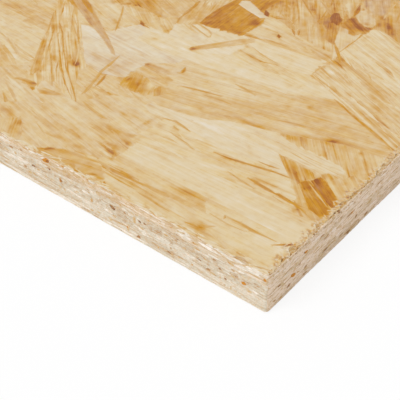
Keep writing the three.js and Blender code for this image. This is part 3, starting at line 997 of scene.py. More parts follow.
    (40, 10, 5, 50, [(108, 71), (112, 70), (118, 71), (128, 72.4), (129, 79), (116, 79.8), (109, 78)], [
     (117, 73.4, 3, 0.9, 24, -15), (112, 77, 2, 1, 16)]),
    (44, -10, 62, 50, [(109, 61.6), (114, 59.4), (121, 58.4), (126, 60), (128.6, 65), (127.6, 72.6),
     (118, 71), (111, 68)], [
     (121, 65, 5.5, 3.4, 30), (118, 66, 1.6, 1.6, 20), (126.4, 66, 2.4, 1.1, 30), (113, 63.4, 3, 1.4, 10),
     (114, 68.6, 2.6, 2, -26), (124.6, 62.6, 2, 1, -16), (115, 62, 3, 2.4, 12), (125, 70, 3, 1.6, -10),
     (125.6, 66, 1.6, 4, 16, 0), (119, 66, 1.6, 2, -10)]),
    (52, 0, 50, 50, [(104.6, 64), (107, 62), (110.6, 66), (110, 71), (107, 70), (104, 67.6)], [
     (107.4, 66, 3, 1.2, 14)]),
    # the fan of long needles
    (36, 0, 41, 90, [(130, 37), (134, 37), (142, 39), (150, 43.4), (156, 40), (152, 32), (162, 33),
     (166, 42), (174, 52), (181, 61), (188, 70), (195, 80), (204, 92), (214, 104), (222, 116), (212, 118),
     (202, 108), (192, 98), (184, 92), (174, 83), (164, 72), (156, 66), (149, 63), (150, 58), (142, 48)], [
     (170, 74, 9, 2.6, 10), (172, 75.6, 4, 1.6, 12), (188, 84, 3, 2, 10), (156, 61, 4, 2.2, 30),
     (159.4, 59.4, 1.6, 1.4, 30), (167, 58, 3.4, 1.8, 20), (158, 52, 5, 2.4, -8), (155, 50, 1.8, 1, 20),
     (165, 47, 4, 2.4, 20), (161, 42, 3, 1.4, 22, 10), (164.6, 41.4, 1.2, 0.8, 24), (178, 80, 10, 3, -8),
     (186, 88, 3, 2, -10), (199, 96, 6, 2.6, -10), (201, 89, 8, 1, 16, 48), (190, 76, 8, 1.4, 20, 52),
     (176, 70, 8, 1.4, -6), (148, 48, 6, 1.2, -8), (155, 52, 4, 2, -10), (203, 97, 4, 2, -14),
     (156, 51, 7, 4, -10), (184, 70, 5, 3, -10), (155.6, 59.6, 1.5, 1.3, 26), (154.4, 60.8, 2.2, 1.3, 20),
     (151.4, 58.4, 2.4, 1.6, -16), (169, 66.4, 6, 2.4, -12), (156.5, 44.4, 4, 2, -10),
     (191, 82, 2.6, 2.6, 20), (195.6, 83.6, 2, 1.6, -12), (190, 94, 4, 1.6, -12), (202, 98, 4, 1.6, -12),
     (162, 63.6, 3.4, 1.8, 26), (176.8, 63, 2.4, 1.4, 26), (154.6, 46, 2, 4, 10), (161, 45, 3, 3, -10),
     (153, 54.6, 4, 2.4, -14), (161.6, 50.4, 2.4, 1.8, -16), (155, 64, 3, 2, -12), (169, 54, 6, 2.4, 26),
     (164, 67, 5, 2, 18), (190, 83, 5, 3.4, 12), (205, 100, 8, 2, -12, 60), (174, 80, 7, 2.4, -12),
     (190, 92, 6, 2, -8)]),
    (44, 0, 50, 70, [(164, 41), (167.4, 43), (172, 49), (177, 55), (183, 63), (188.6, 70), (186, 71),
     (180, 64.4), (174, 57), (168, 50.6), (163.4, 46)], [
     (180.6, 63.4, 3.6, 1.4, 24), (165, 45.6, 2.6, 1.2, 20), (176, 57, 4, 0.8, 16), (170, 52, 4, 2, 10),
     (184.6, 67, 2, 1, 20), (171.4, 50.6, 3, 0.9, 18)]),
    # dark patches between the needles and the right hand frame
    (42, 0, -12, 40, [(140, 37.4), (150, 36.6), (152, 34), (148, 31.6), (142, 34.4)], [
     (146.6, 33, 2.6, 1.2, 28), (141.4, 36.4, 1.6, 1, 20), (148, 35, 4, 2, -14)]),
    (52, 0, -8, 40, [(152.6, 33), (152.8, 31.4), (157, 33), (161, 34.4), (168, 33.4), (166, 36), (158, 37.2),
     (155.4, 36.6)], [
     (157, 36, 2, 1, 30), (162, 35.4, 4, 0.9, 20), (153.8, 32.4, 1.6, 0.9, 24)]),
    # the grey brown strand that widens to the upper right
    (58, 40, 29, 50, [(146.4, 78.4), (149, 78.6), (160, 84.8), (170, 90), (180, 94.4), (190, 99.6),
     (200, 104.4), (211, 108.4), (208, 112), (203, 114.6), (196, 111.6), (190, 107.4), (180, 101),
     (172, 95.8), (160, 88.6), (150, 81.6)], [
     (184, 99, 6, 1.2, 8), (192, 103.6, 12, 2, 8)]),
    (66, -10, 28, 40, [(186, 103.6), (192, 108), (197, 111.6), (204, 114.8), (206, 113), (199, 109),
     (192, 105.4)], [
     (198, 110.6, 5, 1.4, 10)]),
    (56, 0, 27, 40, [(196, 102.8), (203, 107), (210, 110.6), (212, 109), (204, 104.8)], [
     (206, 107.4, 4, 1.2, 10)]),
]
# tone, width, line of points; a dark line is partly resin and partly painted shade in a seam or crack
cornerLines = [
    (12, 0.7, [(111, 0.3), (118, 0.8), (127, 0.4)]),
    (5, 1, [(91, 0.3), (96, 0.6), (101, 0.3)]),
    (10, 0.6, [(1, 0.2), (7, 0.9), (15, 0.5), (22, 0.8)]),
    (10, 0.6, [(21, 0.3), (28, 0.8), (38, 0.4)]),
    (4, 1, [(37, 0.2), (43, 0.7), (50, 0.3)]),
    # front rim and the band behind it
    (50, 0.7, [(30, 9), (32, 7.2), (34.4, 5.2)]),
    (54, 0.9, [(34, 4.7), (37, 4.6), (40, 3.8)]),
    (52, 0.9, [(48, 5), (53, 5.2), (60, 5.9), (66, 6.2)]),
    (44, 0.7, [(40, 5.4), (44, 5.2), (50, 5.6)]),
    (52, 0.9, [(62, 8.2), (70, 8.8), (80, 8.6), (84, 9)]),
    (48, 0.8, [(66, 6.8), (74, 7), (84, 7.4)]),
    (44, 1.7, [(48, 12.5), (56, 11.6), (62, 11.2), (70, 11)]),
    (56, 1.8, [(66, 10.6), (74, 11), (80, 10.4), (84, 10.7)]),
    (50, 0.9, [(70, 12.2), (78, 12), (86, 12)]),
    (44, 1.1, [(8, 15.8), (17, 15.4), (24, 15.9), (30, 15.6)]),
    (56, 0.9, [(16.6, 15), (19, 15.2), (22, 15.4)]),
    (80, 0.8, [(30, 14.9), (30.9, 16)]),
    (66, 0.8, [(2, 19), (4.5, 16.6), (6, 15.4), (8, 13.6)]),
    (84, 1.2, [(3.2, 17.8), (4.3, 16.6), (5.4, 15.8)]),
    (46, 0.7, [(20, 13.2), (28, 12.6), (36, 13.4)]),
    (48, 0.8, [(87, 15), (88, 17), (89.4, 19)]),
    (58, 1.2, [(87.6, 15.2), (89, 17.6)]),
    (54, 1, [(117, 2), (108, 1.6), (100, 2.2)]),
    (52, 0.7, [(93, 0.6), (96, 3), (99, 5)]),
    (56, 0.8, [(97, 10.6), (99.6, 10.9)]),
    (76, 1.1, [(3, 43.8), (9, 47.9), (14, 51.2), (18, 53.6)]),
    (70, 0.8, [(5, 47), (9.6, 50.2), (14.6, 53.4)]),
    (68, 0.9, [(4, 41.2), (10, 44.6), (15, 47.4), (20, 50)]),
    (62, 0.8, [(6, 39.6), (11, 42.6), (16, 46)]),
    (36, 0.8, [(5, 43.4), (11, 47), (17, 50.6)]),
    (64, 1.1, [(88.2, 0.2), (88.2, 2), (86.6, 3.6), (84.6, 4)]),
    (12, 1.2, [(86.6, 0.6), (85.8, 2), (83.8, 2.8)]),
    (56, 0.8, [(85.4, 0.3), (84, 1.6), (81.6, 2.2)]),
    (74, 1.3, [(79.8, 3.2), (78.6, 2.1), (77, 1)]),
    (54, 1.2, [(71.8, 1.2), (70, 0.6), (68.2, 0.4)]),
    (62, 1.2, [(101.2, 1.1), (99.4, 0.5), (98, 0.3)]),
    (60, 0.9, [(93.4, 2.6), (92, 1.2), (92.2, 0.2)]),
    # yellow strands
    (58, 1.1, [(24, 49.6), (34, 48.6), (45, 46.4), (52, 45), (59, 44.8)]),
    (62, 0.9, [(44, 46.4), (50, 45.2), (55, 44.8)]),
    (54, 0.9, [(32, 51.6), (36, 51), (41, 50.7)]),
    (58, 1.4, [(11, 37.6), (17, 37.2), (23, 38.2), (25, 37.6)]),
    (60, 1.5, [(23, 37.6), (28, 38.2), (34, 39), (38, 39.4)]),
    (46, 0.9, [(32, 35.4), (38, 36.2), (47, 37.9)]),
    (50, 0.8, [(5, 33.4), (12, 36.4), (20, 37.6)]),
    (46, 1, [(19, 35.2), (24, 36)]),
    (44, 0.8, [(70, 42.4), (76, 43.4), (82, 44.6)]),
    (46, 1, [(26, 41.8), (31, 41.2), (36, 41.4)]),
    (50, 1.2, [(76, 50.2), (82, 51.6), (86, 52.2), (91, 51.2)]),
    (56, 0.8, [(80.4, 48), (84, 49)]),
    (44, 0.6, [(60, 47.6), (70, 47.2)]),
    # the boundary of the ridged strand
    (62, 1.3, [(3, 91), (6, 92.2)]),
    (52, 1.7, [(5, 91.6), (12, 95), (20, 98.9), (30, 103.4), (38, 107.4)]),
    (54, 1.7, [(33, 105.2), (38, 107.4), (43, 109.8)]),
    (50, 1, [(5, 96.6), (10, 99), (16, 101.4)]),
    (50, 0.9, [(42, 113), (48, 116.4), (56, 119.6), (62, 122.6)]),
    (50, 1.4, [(56, 136.8), (60, 138.2), (64, 139.8)]),
    (48, 0.8, [(62.8, 123), (63, 130), (61.6, 134)]),
    (52, 0.9, [(64, 146), (64.2, 158), (64.2, 170)]),
    (54, 1.7, [(58, 139.6), (63, 146), (67, 150.6), (71.6, 156)]),
    # middle
    (60, 2.2, [(110.4, 85.4), (111, 87.4), (112.6, 90.6)]),
    (50, 0.8, [(119, 79.8), (124, 80), (129, 80.4)]),
    (56, 0.8, [(80, 119.6), (88, 117.4), (94, 119)]),
    (42, 0.7, [(80, 120.4), (90, 122.6), (100, 126.6)]),
    (46, 0.8, [(123, 122), (124.4, 125), (128, 127.4), (136, 129.6), (141, 130.4)]),
    (44, 0.8, [(123.6, 121.6), (130, 123.4), (136, 126), (142, 127.6)]),
    (40, 0.7, [(130, 121.4), (138, 123.4), (144, 126)]),
    (48, 0.9, [(138, 131.6), (144, 134.4), (148.6, 137)]),
    (60, 2, [(153.6, 152), (153, 148.6), (151.6, 145.4), (150.8, 140.6), (150, 136), (149, 131.4)]),
    (60, 1.4, [(149.4, 132), (148.4, 128.4), (147, 125)]),
    (50, 1, [(147, 125.4), (146, 122)]),
    (46, 0.8, [(141.6, 145.6), (144, 149.6), (147.4, 153.6)]),
    (40, 0.7, [(143, 154), (147, 158)]),
    (62, 1.6, [(153, 110.2), (157, 110.8), (161, 112.4)]),
    (80, 2.3, [(157, 110.2), (159.2, 111.6), (162.4, 113.8)]),
    (54, 1.1, [(164.4, 97), (169, 103.6), (173.4, 110.4), (178, 116.6), (182, 121.6)]),
    (46, 0.8, [(170, 108), (175, 113)]),
    (60, 1.3, [(99, 135.8), (106, 135.4), (112.4, 134.2)]),
    (82, 2.3, [(95, 142.4), (96.4, 144), (97.8, 145.6)]),
    # at the dark tan strand over the quad
    (86, 3.4, [(113.8, 158.8), (116, 161), (119, 164.4)]),
    (66, 1.2, [(105, 162), (108, 160.8), (113, 159.8)]),
    (60, 0.8, [(106, 161), (110, 162.4)]),
    # lines among the steep tan strands
    (68, 1.6, [(90.6, 149.6), (93.4, 152.8), (95.6, 154.6)]),
    (50, 0.8, [(95, 154.6), (99, 159), (100.4, 168.4)]),
    (40, 0.8, [(84, 152), (89, 158.6), (94, 166)]),
    (72, 2.2, [(78.8, 187), (79.8, 191), (81, 195), (83.4, 201.4)]),
    (56, 1, [(89.6, 187), (92.6, 193), (95.6, 199.6)]),
    (50, 0.8, [(104, 168), (108, 174), (112, 181)]),
    (56, 1, [(64.4, 165), (64.8, 171), (66, 176)]),
    # thin ones left of the needles
    (44, 1.7, [(133, 43), (134.6, 49), (137.6, 56), (140.6, 63), (142.4, 71), (144.6, 79.6)]),
    (50, 1, [(132.6, 44.6), (134, 48.4), (136.2, 53)]),
    (66, 1.5, [(133, 51), (134, 55), (135.4, 59), (137, 62.4)]),
    (62, 1.2, [(136.6, 62.6), (140, 61.4)]),
    (56, 0.9, [(126.6, 64.4), (126.9, 71.6)]),
    # needles
    (70, 1.1, [(130.4, 37), (132.6, 38.6)]),
    (60, 0.9, [(131, 37.6), (140, 44), (150, 51), (160, 58), (171, 67.4), (184, 79), (194, 86)]),
    (58, 0.8, [(134, 37.8), (146, 45), (158, 54), (170, 64), (186, 77.4)]),
    (30, 0.8, [(132, 37.8), (146, 47.6), (158, 56)]),
    (48, 0.7, [(148, 47), (158, 53), (166, 60)]),
    (30, 0.9, [(160, 63), (172, 72.6), (184, 84)]),
    (60, 0.8, [(164, 72), (176, 82), (188, 94)]),
    (56, 0.7, [(144, 46.6), (154, 54.4), (164, 63.4), (174, 72)]),
    (22, 0.7, [(142, 43.6), (152, 50.8), (162, 59.4), (168, 64.8)]),
    (60, 0.7, [(172, 57), (182, 69), (192, 81.6)]),
    (30, 0.8, [(168, 55), (178, 67), (188, 78)]),
    (50, 0.9, [(149, 40), (156, 46), (166, 55), (174, 61.4)]),
    (46, 0.7, [(150, 43.6), (156, 49), (160, 53)]),
    (58, 1, [(190, 74), (197, 83), (205, 92.4)]),
    (52, 1, [(196, 88), (203, 97), (211, 106)]),
    (30, 0.9, [(188, 86.6), (196, 95), (204, 104)]),
    (58, 0.8, [(181, 82.6), (190, 91.4), (200, 102)]),
    (18, 1.8, [(181, 81.4), (184, 83), (186.4, 84)]),
    (20, 1.6, [(190, 89.4), (193.6, 91)]),
]


def stretches(shape, axis, start, length, count):
    # which of count equal stretches along an axis each face lies in, by its middle
    starts = np.cumsum(shape["sizes"]) - shape["sizes"]
    middle = np.add.reduceat(shape["place"][:, axis][shape["corner"]], starts) / shape["sizes"]
    return ((middle - start) / length).astype(int).clip(0, count - 1)


def foldedMap(u, v, row, rows, border):
    # places on a baked map that is folded into rows, from 0 to 1 along and up each row
    inner = 1 - 2 * border
    return np.stack([border + u * inner, (row + (border + v * inner)) / rows], axis=1)


faceLook = {
    "lanes": 4,           # each lane of a face is a piece of its own
    "rows": 3,            # and its baked map is folded into this many rows
    "border": 0.006,
    "skirt": 1.1,         # mm, how far the rim turns down
    "rimWallPaintedLight": (-0.25, -0.2, 0.0, 0.2),  # how much paler and greyer the upper face's rim wall is drawn: painted light that lifts the shade on that wall
    "footLooks": (-0.25, -0.4, 0.0, 0.8),         # and the under face where it turns up
}


def dressFace(name, strands, back, upward, finePoints, seed, material):
    lanes, rows, border = (faceLook[k] for k in ("lanes", "rows", "border"))
    laneWidth = panelWidth / lanes
    rowLength = panelLength / rows
    halfX, halfY = panelLength / 2, panelWidth / 2
    seams = [[(-halfX, -halfY + i * laneWidth), (halfX, -halfY + i * laneWidth)] for i in range(1, lanes)]
    seams += [[(-halfX + i * rowLength, -halfY), (-halfX + i * rowLength, halfY)] for i in range(1, rows)]
    points, triangles, top = showing([s["outline"] for s in strands], rimOutline(back), finePoints, seams)
    values = strandValues(strands, np.random.default_rng(seed))
    shape = raisedMesh(points, triangles, top, values, faceLook["skirt"])
    shape["skirtLooks"] = np.array(faceLook["rimWallPaintedLight" if upward else "footLooks"])
    height = panelThick - shape["depth"] if upward else shape["depth"]
    position = np.concatenate([shape["place"], height[:, None]], axis=1)
    lane = stretches(shape, 1, -halfY, laneWidth, lanes)
    row = stretches(shape, 0, -halfX, rowLength, rows)

    for number in range(lanes):
        faces = np.flatnonzero(lane == number)
        rowOf = np.repeat(row[faces], shape["sizes"][faces])

        def mapPlace(flat):
            u = (flat[:, 0] + halfX) / rowLength - rowOf
            v = (flat[:, 1] + halfY) / laneWidth - number
            return foldedMap(u, v, rowOf, rows, border)

        piece = f"{name}{number + 1}"
        pieceFromCorners(piece, shape, faces, position, not upward, mapPlace, values, material)


# the sawn edges: strands seen from the side and from their ends, with gaps the press didn't close, drawn as
# dark marks with their shade painted in

edgeLook = {
    "strandThick": 1.0,   # of one strand in the stack, as pressed and slanted
    "thickSpread": (0.9, 2.2),    # how thick it is drawn, which the next one covers in part
    "longCut": (8, 40),   # shown length of strands that lie along the edge
    "crossCut": (3, 11),  # and of strands cut across
    "faceLayer": 5.2,     # depth of the outer layers, whose strands follow the board's length
    "wave": 0.5,          # how far the stack undulates
    "slope": 3.0,         # spread of a strand's own slant, degrees
    "depths": (0.03, 0.18),
    # gaps, drawn dark with their shade painted in, and resin flecks to each square mm
    "scattered": {"brown": 0.004, "dark": 0.004, "tan": 0.0112, "orange": 0.0028},
    "chipPitch": 15,      # mm between fresh chips under the rim of a long edge
    "fibrePitch": (0.45, 2.0),    # mm between torn fibres along a short rim, near and far
    "strawPitch": 1.6,    # mm between worn fibres under the front rim near the camera's corner
    "handLaid": 138.0,    # mm from the camera's corner where marks are listed one by one
    "fineStep": 0.8,      # mm between the points that soften tones there
    "fineReach": (138.0, 98.0),   # how far those go along the front edge and the right one
    "soft": 0.7,          # how far tones run into each other there
    "underLedge": 0.8,    # width kept under the face beyond what shows
    "turnIn": 0.6,        # mm beyond the fold over which depth turns from inward to downward
    "ledgeDown": 0.22,    # how far below the face the worn ledge ends
    "border": 0.01,       # of each row of the baked map
}

# what differs between the edges along the board's length and those across it
edgeKinds = {
    "long": {
        "tone": (0.38, 0.10), # mean and spread
        "foot": -0.14,    # how much darker it is at its foot
        "warmth": 0.03,
        "topWarmth": 0.28,        # how much warmer the uppermost millimetres are
        "ledge": (0.1, 0.05, 0.0, 0.0),   # how much the worn ledge differs from the edge below, chiefly darker: partly painted shade so that the up-facing ledge doesn't look lit, partly dirtier torn fibres
        "rows": 10,       # of the baked map
    },
    "short": {
        "tone": (-0.07, 0.22),
        "foot": 0.36,
        "warmth": 0.36,
        "topWarmth": 0.05,
        "ledge": (0.42, 0.08, 0.0, 0.0),
        "rows": 7,
    },
}

# tone, warmth and depth of what lies in the edges
markKinds = {
    "pale": (0.20, 0.0, (0.02, 0.05)),
    "light": (0.0, 0.2, (0.02, 0.05)),
    "tan": (0.36, 0.50, (0.05, 0.15)),
    "straw": (0.26, 0.42, (0.02, 0.05)),
    "orange": (0.62, 0.98, (0.05, 0.2)),
    "brown": (0.70, 0.15, (0.08, 0.2)),
    # gaps, their shade painted into a dark tone; they lie only a little deeper
    "dark": (0.92, 0.15, (0.2, 0.45)),
}


def flake(run, height, length, thick, slope, near, **looks):
    # a thin strand seen from its side, tapered to both ends and slanted, plainer far from the camera's corner
    steps = (-0.5, -0.44, -0.22, 0.0, 0.25, 0.45, 0.5) if near else (-0.5, 0.0, 0.5)
    share = (0.2, 0.7, 1.0, 0.9, 1.0, 0.7, 0.15) if near else (0.35, 1.0, 0.35)
    rise = tan(radians(slope))
    under, over = (
        [(run + length * s, height + length * s * rise + way * thick / 2 * k) for s, k in zip(steps, share)]
        for way in (-1, 1)
    )
    return {"outline": under + over[::-1], "grain": 0.0, **looks}


def blot(rng, run, height, length, thick, slope, near, **looks):
    # an irregular round shape, slanted
    turn = radians(slope)
    outline = []
    count = 9 if near else 5
    for i in range(count):
        angle = i / count * 2 * pi
        reach = rng.uniform(0.65, 1.15)
        u, v = length / 2 * reach * cos(angle), thick / 2 * reach * sin(angle)
        outline.append((
            run + u * cos(turn) - v * sin(turn), height + u * sin(turn) + v * cos(turn),
        ))
    return {"outline": outline, "grain": 0.0, **looks}


# marks on the two sawn edges next to the camera's corner, listed one by one: distance from the corner,
# height,
# length and thickness in mm, and for some a slope in degrees, upward away from the corner
frontMarks = {
    "pale": [
        (1.1, 16.9, 2.2, 1.8), (6, 16.8, 8, 1.7, -5), (15, 16.9, 10, 1.3, -3), (8, 15.4, 13, 1.9, -8),
        (25.5, 15.8, 11, 1.7, 3), (37, 15.2, 11, 1.9, -2), (53, 17.2, 16, 0.8, 2), (129, 8.5, 15, 1.5, -3),
        (115.5, 16.7, 12, 0.9, -7), (94.5, 17.3, 4, 1.1, -20), (114, 13.2, 6, 1.8, 4), (87, 10.4, 6, 1.3),
        (88, 5.5, 4, 0.9), (22, 13, 7, 1), (47, 8, 9, 1.8, 2), (70, 1.4, 40, 1), (29, 1.2, 30, 0.9),
        (12, 13, 8, 0.8, -4), (110, 1.6, 30, 1), (66, 12.4, 3, 1), (20, 6.8, 4, 1.2), (75, 7.2, 6, 1.4),
        (93, 2.6, 12, 1.2), (35, 6, 5, 1), (56, 5.4, 6, 1.2), (5, 7, 4, 1.4), (59, 11.8, 2, 0.7),
        (101, 15.8, 6, 0.8, -10), (76, 16.2, 10, 0.9), (134, 15.6, 8, 1),
    ],
    "straw": [
        (66, 17.2, 9, 1.4), (76, 17.4, 7, 1.1, -4), (96, 16.8, 7, 1.5), (105, 17.4, 6, 1.2),
        (48, 17.5, 5, 0.9), (88, 17.2, 5, 1.2), (59, 16.8, 4, 1.4), (84, 14.4, 4, 0.9), (118, 17.6, 4, 0.9),
        (130, 17.4, 5, 1),
    ],
    "tan": [
        (14.4, 8.7, 3, 1.4), (15.8, 14.3, 4, 1.2, 12), (32, 14.5, 2.5, 1.1, 10), (36.7, 9.5, 1.6, 1),
        (45.4, 11, 3, 1), (61.3, 9.9, 1.6, 3.4), (57.5, 7.8, 2, 1.2), (62, 12.6, 2.6, 1, 25),
        (59.6, 13, 2, 0.9), (49.6, 2.8, 1, 1.4), (33, 3.7, 1.2, 1), (39.6, 3.5, 1.4, 1),
        (15.4, 2.8, 1.2, 2.8), (18.3, 2.4, 1, 0.8), (20.2, 4.9, 0.8, 1), (7.5, 6, 3, 1.4),
        (65, 3.7, 1.4, 2.4), (64.4, 5.4, 1, 1.8), (68, 13.6, 3, 1), (90.6, 15.8, 1.4, 1.2),
        (85.8, 16, 4, 1), (88, 15, 2, 1), (99, 14, 2, 1), (111.7, 10.5, 3.4, 1.2, 5), (115, 8.7, 2, 1),
        (120.8, 4.9, 3, 1.4, 10), (129.4, 6.4, 2, 1), (128.8, 11, 1.6, 1.4), (102.5, 6, 1.8, 1.4),
        (99.8, 5.5, 1.2, 1), (84.2, 8.3, 1.4, 2.8), (80, 13, 3, 0.9), (84.6, 2.8, 2, 1), (80.8, 3.7, 2, 1),
        (74.4, 3.5, 2, 2), (72, 6.2, 2, 1), (10, 11.3, 2.2, 0.8), (27, 9.6, 2, 0.8), (31, 12.4, 3, 0.8),
        (54, 13.4, 3, 0.8), (95, 11.4, 3, 0.8), (107, 7.4, 3, 0.9), (135, 10.4, 4, 1.2, 5),
        (92, 8.4, 2, 0.8),
    ],
    "orange": [
        (10, 8.3, 2.1, 1.6), (1.3, 14.9, 1.6, 1.3), (109, 16, 5, 2.2, -20), (99.2, 17.5, 2, 1),
        (101.7, 9.5, 1.8, 2), (65.2, 4.4, 0.9, 1.4), (32.4, 14.5, 1, 0.7), (85.4, 17.6, 1.6, 0.8),
    ],
    "brown": [
        (20.4, 8.9, 2, 1), (25.4, 5.8, 3, 1.1, -18), (25.8, 7.8, 1.6, 0.8, -20),
        (22.9, 11.6, 1.7, 1.2, -20), (40.6, 11, 1, 1), (49.4, 10.5, 2, 1.3), (52.7, 9.9, 1.2, 0.8),
        (66.3, 10.8, 1.6, 1.5), (42, 3.5, 1.3, 0.9), (51.7, 3.5, 1.2, 1), (3.8, 10.5, 1.7, 0.8, -20),
        (14.6, 11.6, 2, 1.2), (96.7, 13.5, 2, 1.3, 10), (108, 12.4, 2.6, 1.4, 10), (104.6, 10.3, 1.6, 1.2),
        (123.3, 6.8, 2, 1.3), (124.6, 14.5, 2.4, 1.3), (131, 13, 3, 1.5), (85.8, 12.4, 2.4, 0.9),
        (79.4, 10.5, 1, 1), (43.3, 5.8, 0.8, 1.5), (112, 15, 1.6, 0.8),
    ],
    "dark": [
        (17.9, 5.5, 1.6, 1.2, -20), (29.8, 7.8, 2.4, 1.1, 8), (56, 10.8, 1.4, 1.5, -50),
        (58.5, 10.5, 1.8, 1.3), (44.4, 3.3, 2.4, 1, 15), (59.6, 2.4, 2.4, 1.6, -10),
        (117.9, 9.3, 2.6, 1.4, -15), (72.9, 10.1, 3.6, 1.8, 25), (20.2, 8.8, 0.9, 0.7),
        (107.6, 12.3, 1.2, 0.7), (108.4, 16, 2.2, 1.2, -20), (101.6, 9.6, 2, 1.4, 40),
    ],
}
rightMarks = {
    "light": [
        (13, 13.8, 11, 1.2, 2), (25, 7.2, 9, 1.1, 4), (41.5, 10.2, 3.4, 2.4), (51, 15.6, 7, 1.3),
        (29, 14.4, 6, 1.2), (66, 11.4, 6, 1.2), (10, 10.4, 6, 1), (20, 4, 3, 1), (46, 5.8, 7, 1),
        (72, 4.4, 8, 1), (85, 8, 8, 1), (5, 15.4, 6, 1.2), (78, 15, 8, 1),
    ],
    "tan": [
        (8.8, 7.4, 2.4, 1.5, -20), (30, 8.9, 6, 0.9, 4), (68.3, 7.4, 5, 1.5, 6), (69, 9.7, 3, 1),
        (24.6, 12, 2.6, 0.9, -15), (39, 6.8, 3, 1), (23, 4.5, 2.6, 0.7), (91, 3, 3, 0.7), (45, 9.4, 3, 1),
        (18.6, 6, 2, 1, -25), (12, 17, 3, 0.9, -20), (26, 17.2, 4, 0.8, -20), (40, 16.8, 3, 0.9, -25),
        (61, 17, 4, 0.9, -25), (74, 16.6, 4, 0.8, -25),
    ],
    "orange": [(22.7, 12.6, 2.2, 1.3, -18), (15.2, 6.7, 3.6, 1.7, -22), (54.4, 10.4, 2.6, 1.2)],
    "brown": [
        (8.3, 16.8, 1.7, 1.3, -45), (23, 1.8, 3, 1.5), (23.3, 5.1, 2, 1.3), (33.3, 13, 3.6, 1.1),
        (36.7, 10.5, 4, 1.3), (46.3, 13.2, 3, 1.2), (42, 13.2, 2.2, 1.3), (52.4, 10.5, 4.6, 1.7),
        (61.3, 9.5, 3.6, 1), (61.3, 1.6, 1.4, 2.6), (66.7, 2, 3, 1.8), (55.4, 14.3, 1.5, 1.9),
        (64, 17.6, 3, 0.9, -35), (28.8, 17.8, 1.5, 0.9, -40), (30.8, 17.8, 1.3, 0.9, -40),
        (44, 17.6, 2, 0.9, -40), (75, 12.6, 8, 0.9), (87, 11.4, 9, 0.7), (77, 8.8, 3, 0.9),
        (19, 9.4, 2, 0.8, -20), (4, 3, 3, 1.2, -30), (48, 3.6, 3, 1), (82, 5.4, 4, 1), (90, 14, 3, 1),
    ],
    "dark": [
        (6.5, 8.3, 2.6, 1, -20), (12.9, 3.6, 2.8, 1.6, 20), (36.7, 3.9, 3.8, 1.7),
        (58.3, 6.2, 1.5, 1.7, -40), (53, 1.5, 3.4, 1.4), (21.7, 13, 1, 0.8), (56, 10.4, 1, 0.9),
    ],
}


def stackedStrands(rng, side):
    # the pressed stack, row upon row, thinned out far from the camera's corner
    start, end = sideSpan(side)
    kind = edgeKinds["short" if side % 2 else "long"]
    phase = rng.uniform(0, 6.28, 3)
    strands = []
    level = -3.0
    while level < panelThick + 3.0:
        crossed = (abs(level - panelThick / 2) > panelThick / 2 - edgeLook["faceLayer"]) == side % 2
        run = start - rng.uniform(0, 40)
        while run < end + 5:
            length = rng.uniform(*edgeLook["crossCut" if crossed else "longCut"])
            middle = run + length / 2
            height = level + rng.normal(0, 0.25) + edgeLook["wave"] * (
                sin(middle / 17 + phase[0]) + 0.6 * sin(middle / 6.1 + phase[1] + level / 3)
            )
            near = abs(middle - cornerRun) < edgeLook["handLaid"]
            darker = kind["foot"] * (0.5 - height / panelThick)
            thick = edgeLook["strandThick"] * rng.uniform(*edgeLook["thickSpread"])
            strands.append(flake(
                middle, height, length * 1.15, thick, rng.normal(0, edgeLook["slope"]), near,
                grey=0.9 if crossed else 0.3,
                figure=kind["warmth"] + kind["topWarmth"] * min(1, max(0, height - 12) / 4),
                tone=float(np.clip(rng.normal(*kind["tone"]) + darker, -0.1, 0.8)),
                depth=rng.uniform(*edgeLook["depths"]), soft=edgeLook["soft"] * near,
            ))
            run += length
        level += edgeLook["strandThick"] * 0.8
    rng.shuffle(strands)
    return [strand for i, strand in enumerate(strands) if strand["soft"] or i % 3]


def edgeMarks(rng, side):
    # what lies in a sawn edge: kind, run, height, length, thickness and slope
    start, end = sideSpan(side)
    near = edgeLook["handLaid"]
    area = (end - start) * panelThick
    scattered = []
    for kind, each in edgeLook["scattered"].items():
        scattered += [kind] * int(each * area)
    marks = [
        (kind, rng.uniform(start, end), rng.uniform(1.2, panelThick - 1.2), rng.uniform(1, 3.2),
         rng.uniform(0.5, 1.5), rng.normal(0, 15))
        for kind in scattered
    ]
    if side % 2 == 0:
        marks += [
            ("pale", run + rng.uniform(-4, 4), rng.uniform(15, 17.2), rng.uniform(5, 14),
             rng.uniform(0.7, 1.8), rng.normal(0, 4))
            for run in np.arange(start, end, edgeLook["chipPitch"])
        ]
    marks = [mark for mark in marks if abs(mark[1] - cornerRun) > near]
    if side == 0:
        for run in np.arange(cornerRun - near, cornerRun, edgeLook["strawPitch"]):
            kind = ("straw", "straw", "tan", "pale", "straw")[int(rng.integers(0, 5))]
            height = panelThick - rng.uniform(0, 2.4)
            marks.append((kind, run, height, rng.uniform(2, 7), rng.uniform(0.6, 1.3), rng.normal(0, 9)))
    away = 1 if side == 1 else -1
    for kind, places in {0: frontMarks, 1: rightMarks}.get(side, {}).items():
        marks += [
            (kind, cornerRun + away * run, height, length, thick, away * sum(slope))
            for run, height, length, thick, *slope in places
        ]
    run = start
    while side % 2 and run < end:
        kinds = ("tan", "straw", "light", "straw", "light", "brown", "tan", "dark")
        kind = kinds[int(rng.integers(0, len(kinds)))]
        height = panelThick + rng.uniform(-2.2, 1.6)
        marks.append((kind, run, height, rng.uniform(0.6, 2.2), rng.uniform(0.4, 0.9), rng.normal(-25, 25)))
        run += edgeLook["fibrePitch"][0 if abs(run - cornerRun) < near else 1]
    return marks


def edgeStrands(side, seed):
    rng = np.random.default_rng(seed)
    strands = stackedStrands(rng, side)
    for kind, run, *shape in edgeMarks(rng, side):
        tone, warm, depths = markKinds[kind]
        near = abs(run - cornerRun) < edgeLook["handLaid"]
        strands.append(blot(
            rng, run, *shape, near, tone=tone + rng.uniform(-0.08, 0.06), figure=warm, grey=0.6,
            depth=rng.uniform(*depths), soft=edgeLook["soft"] * 0.3 * near,
        ))
    return strands


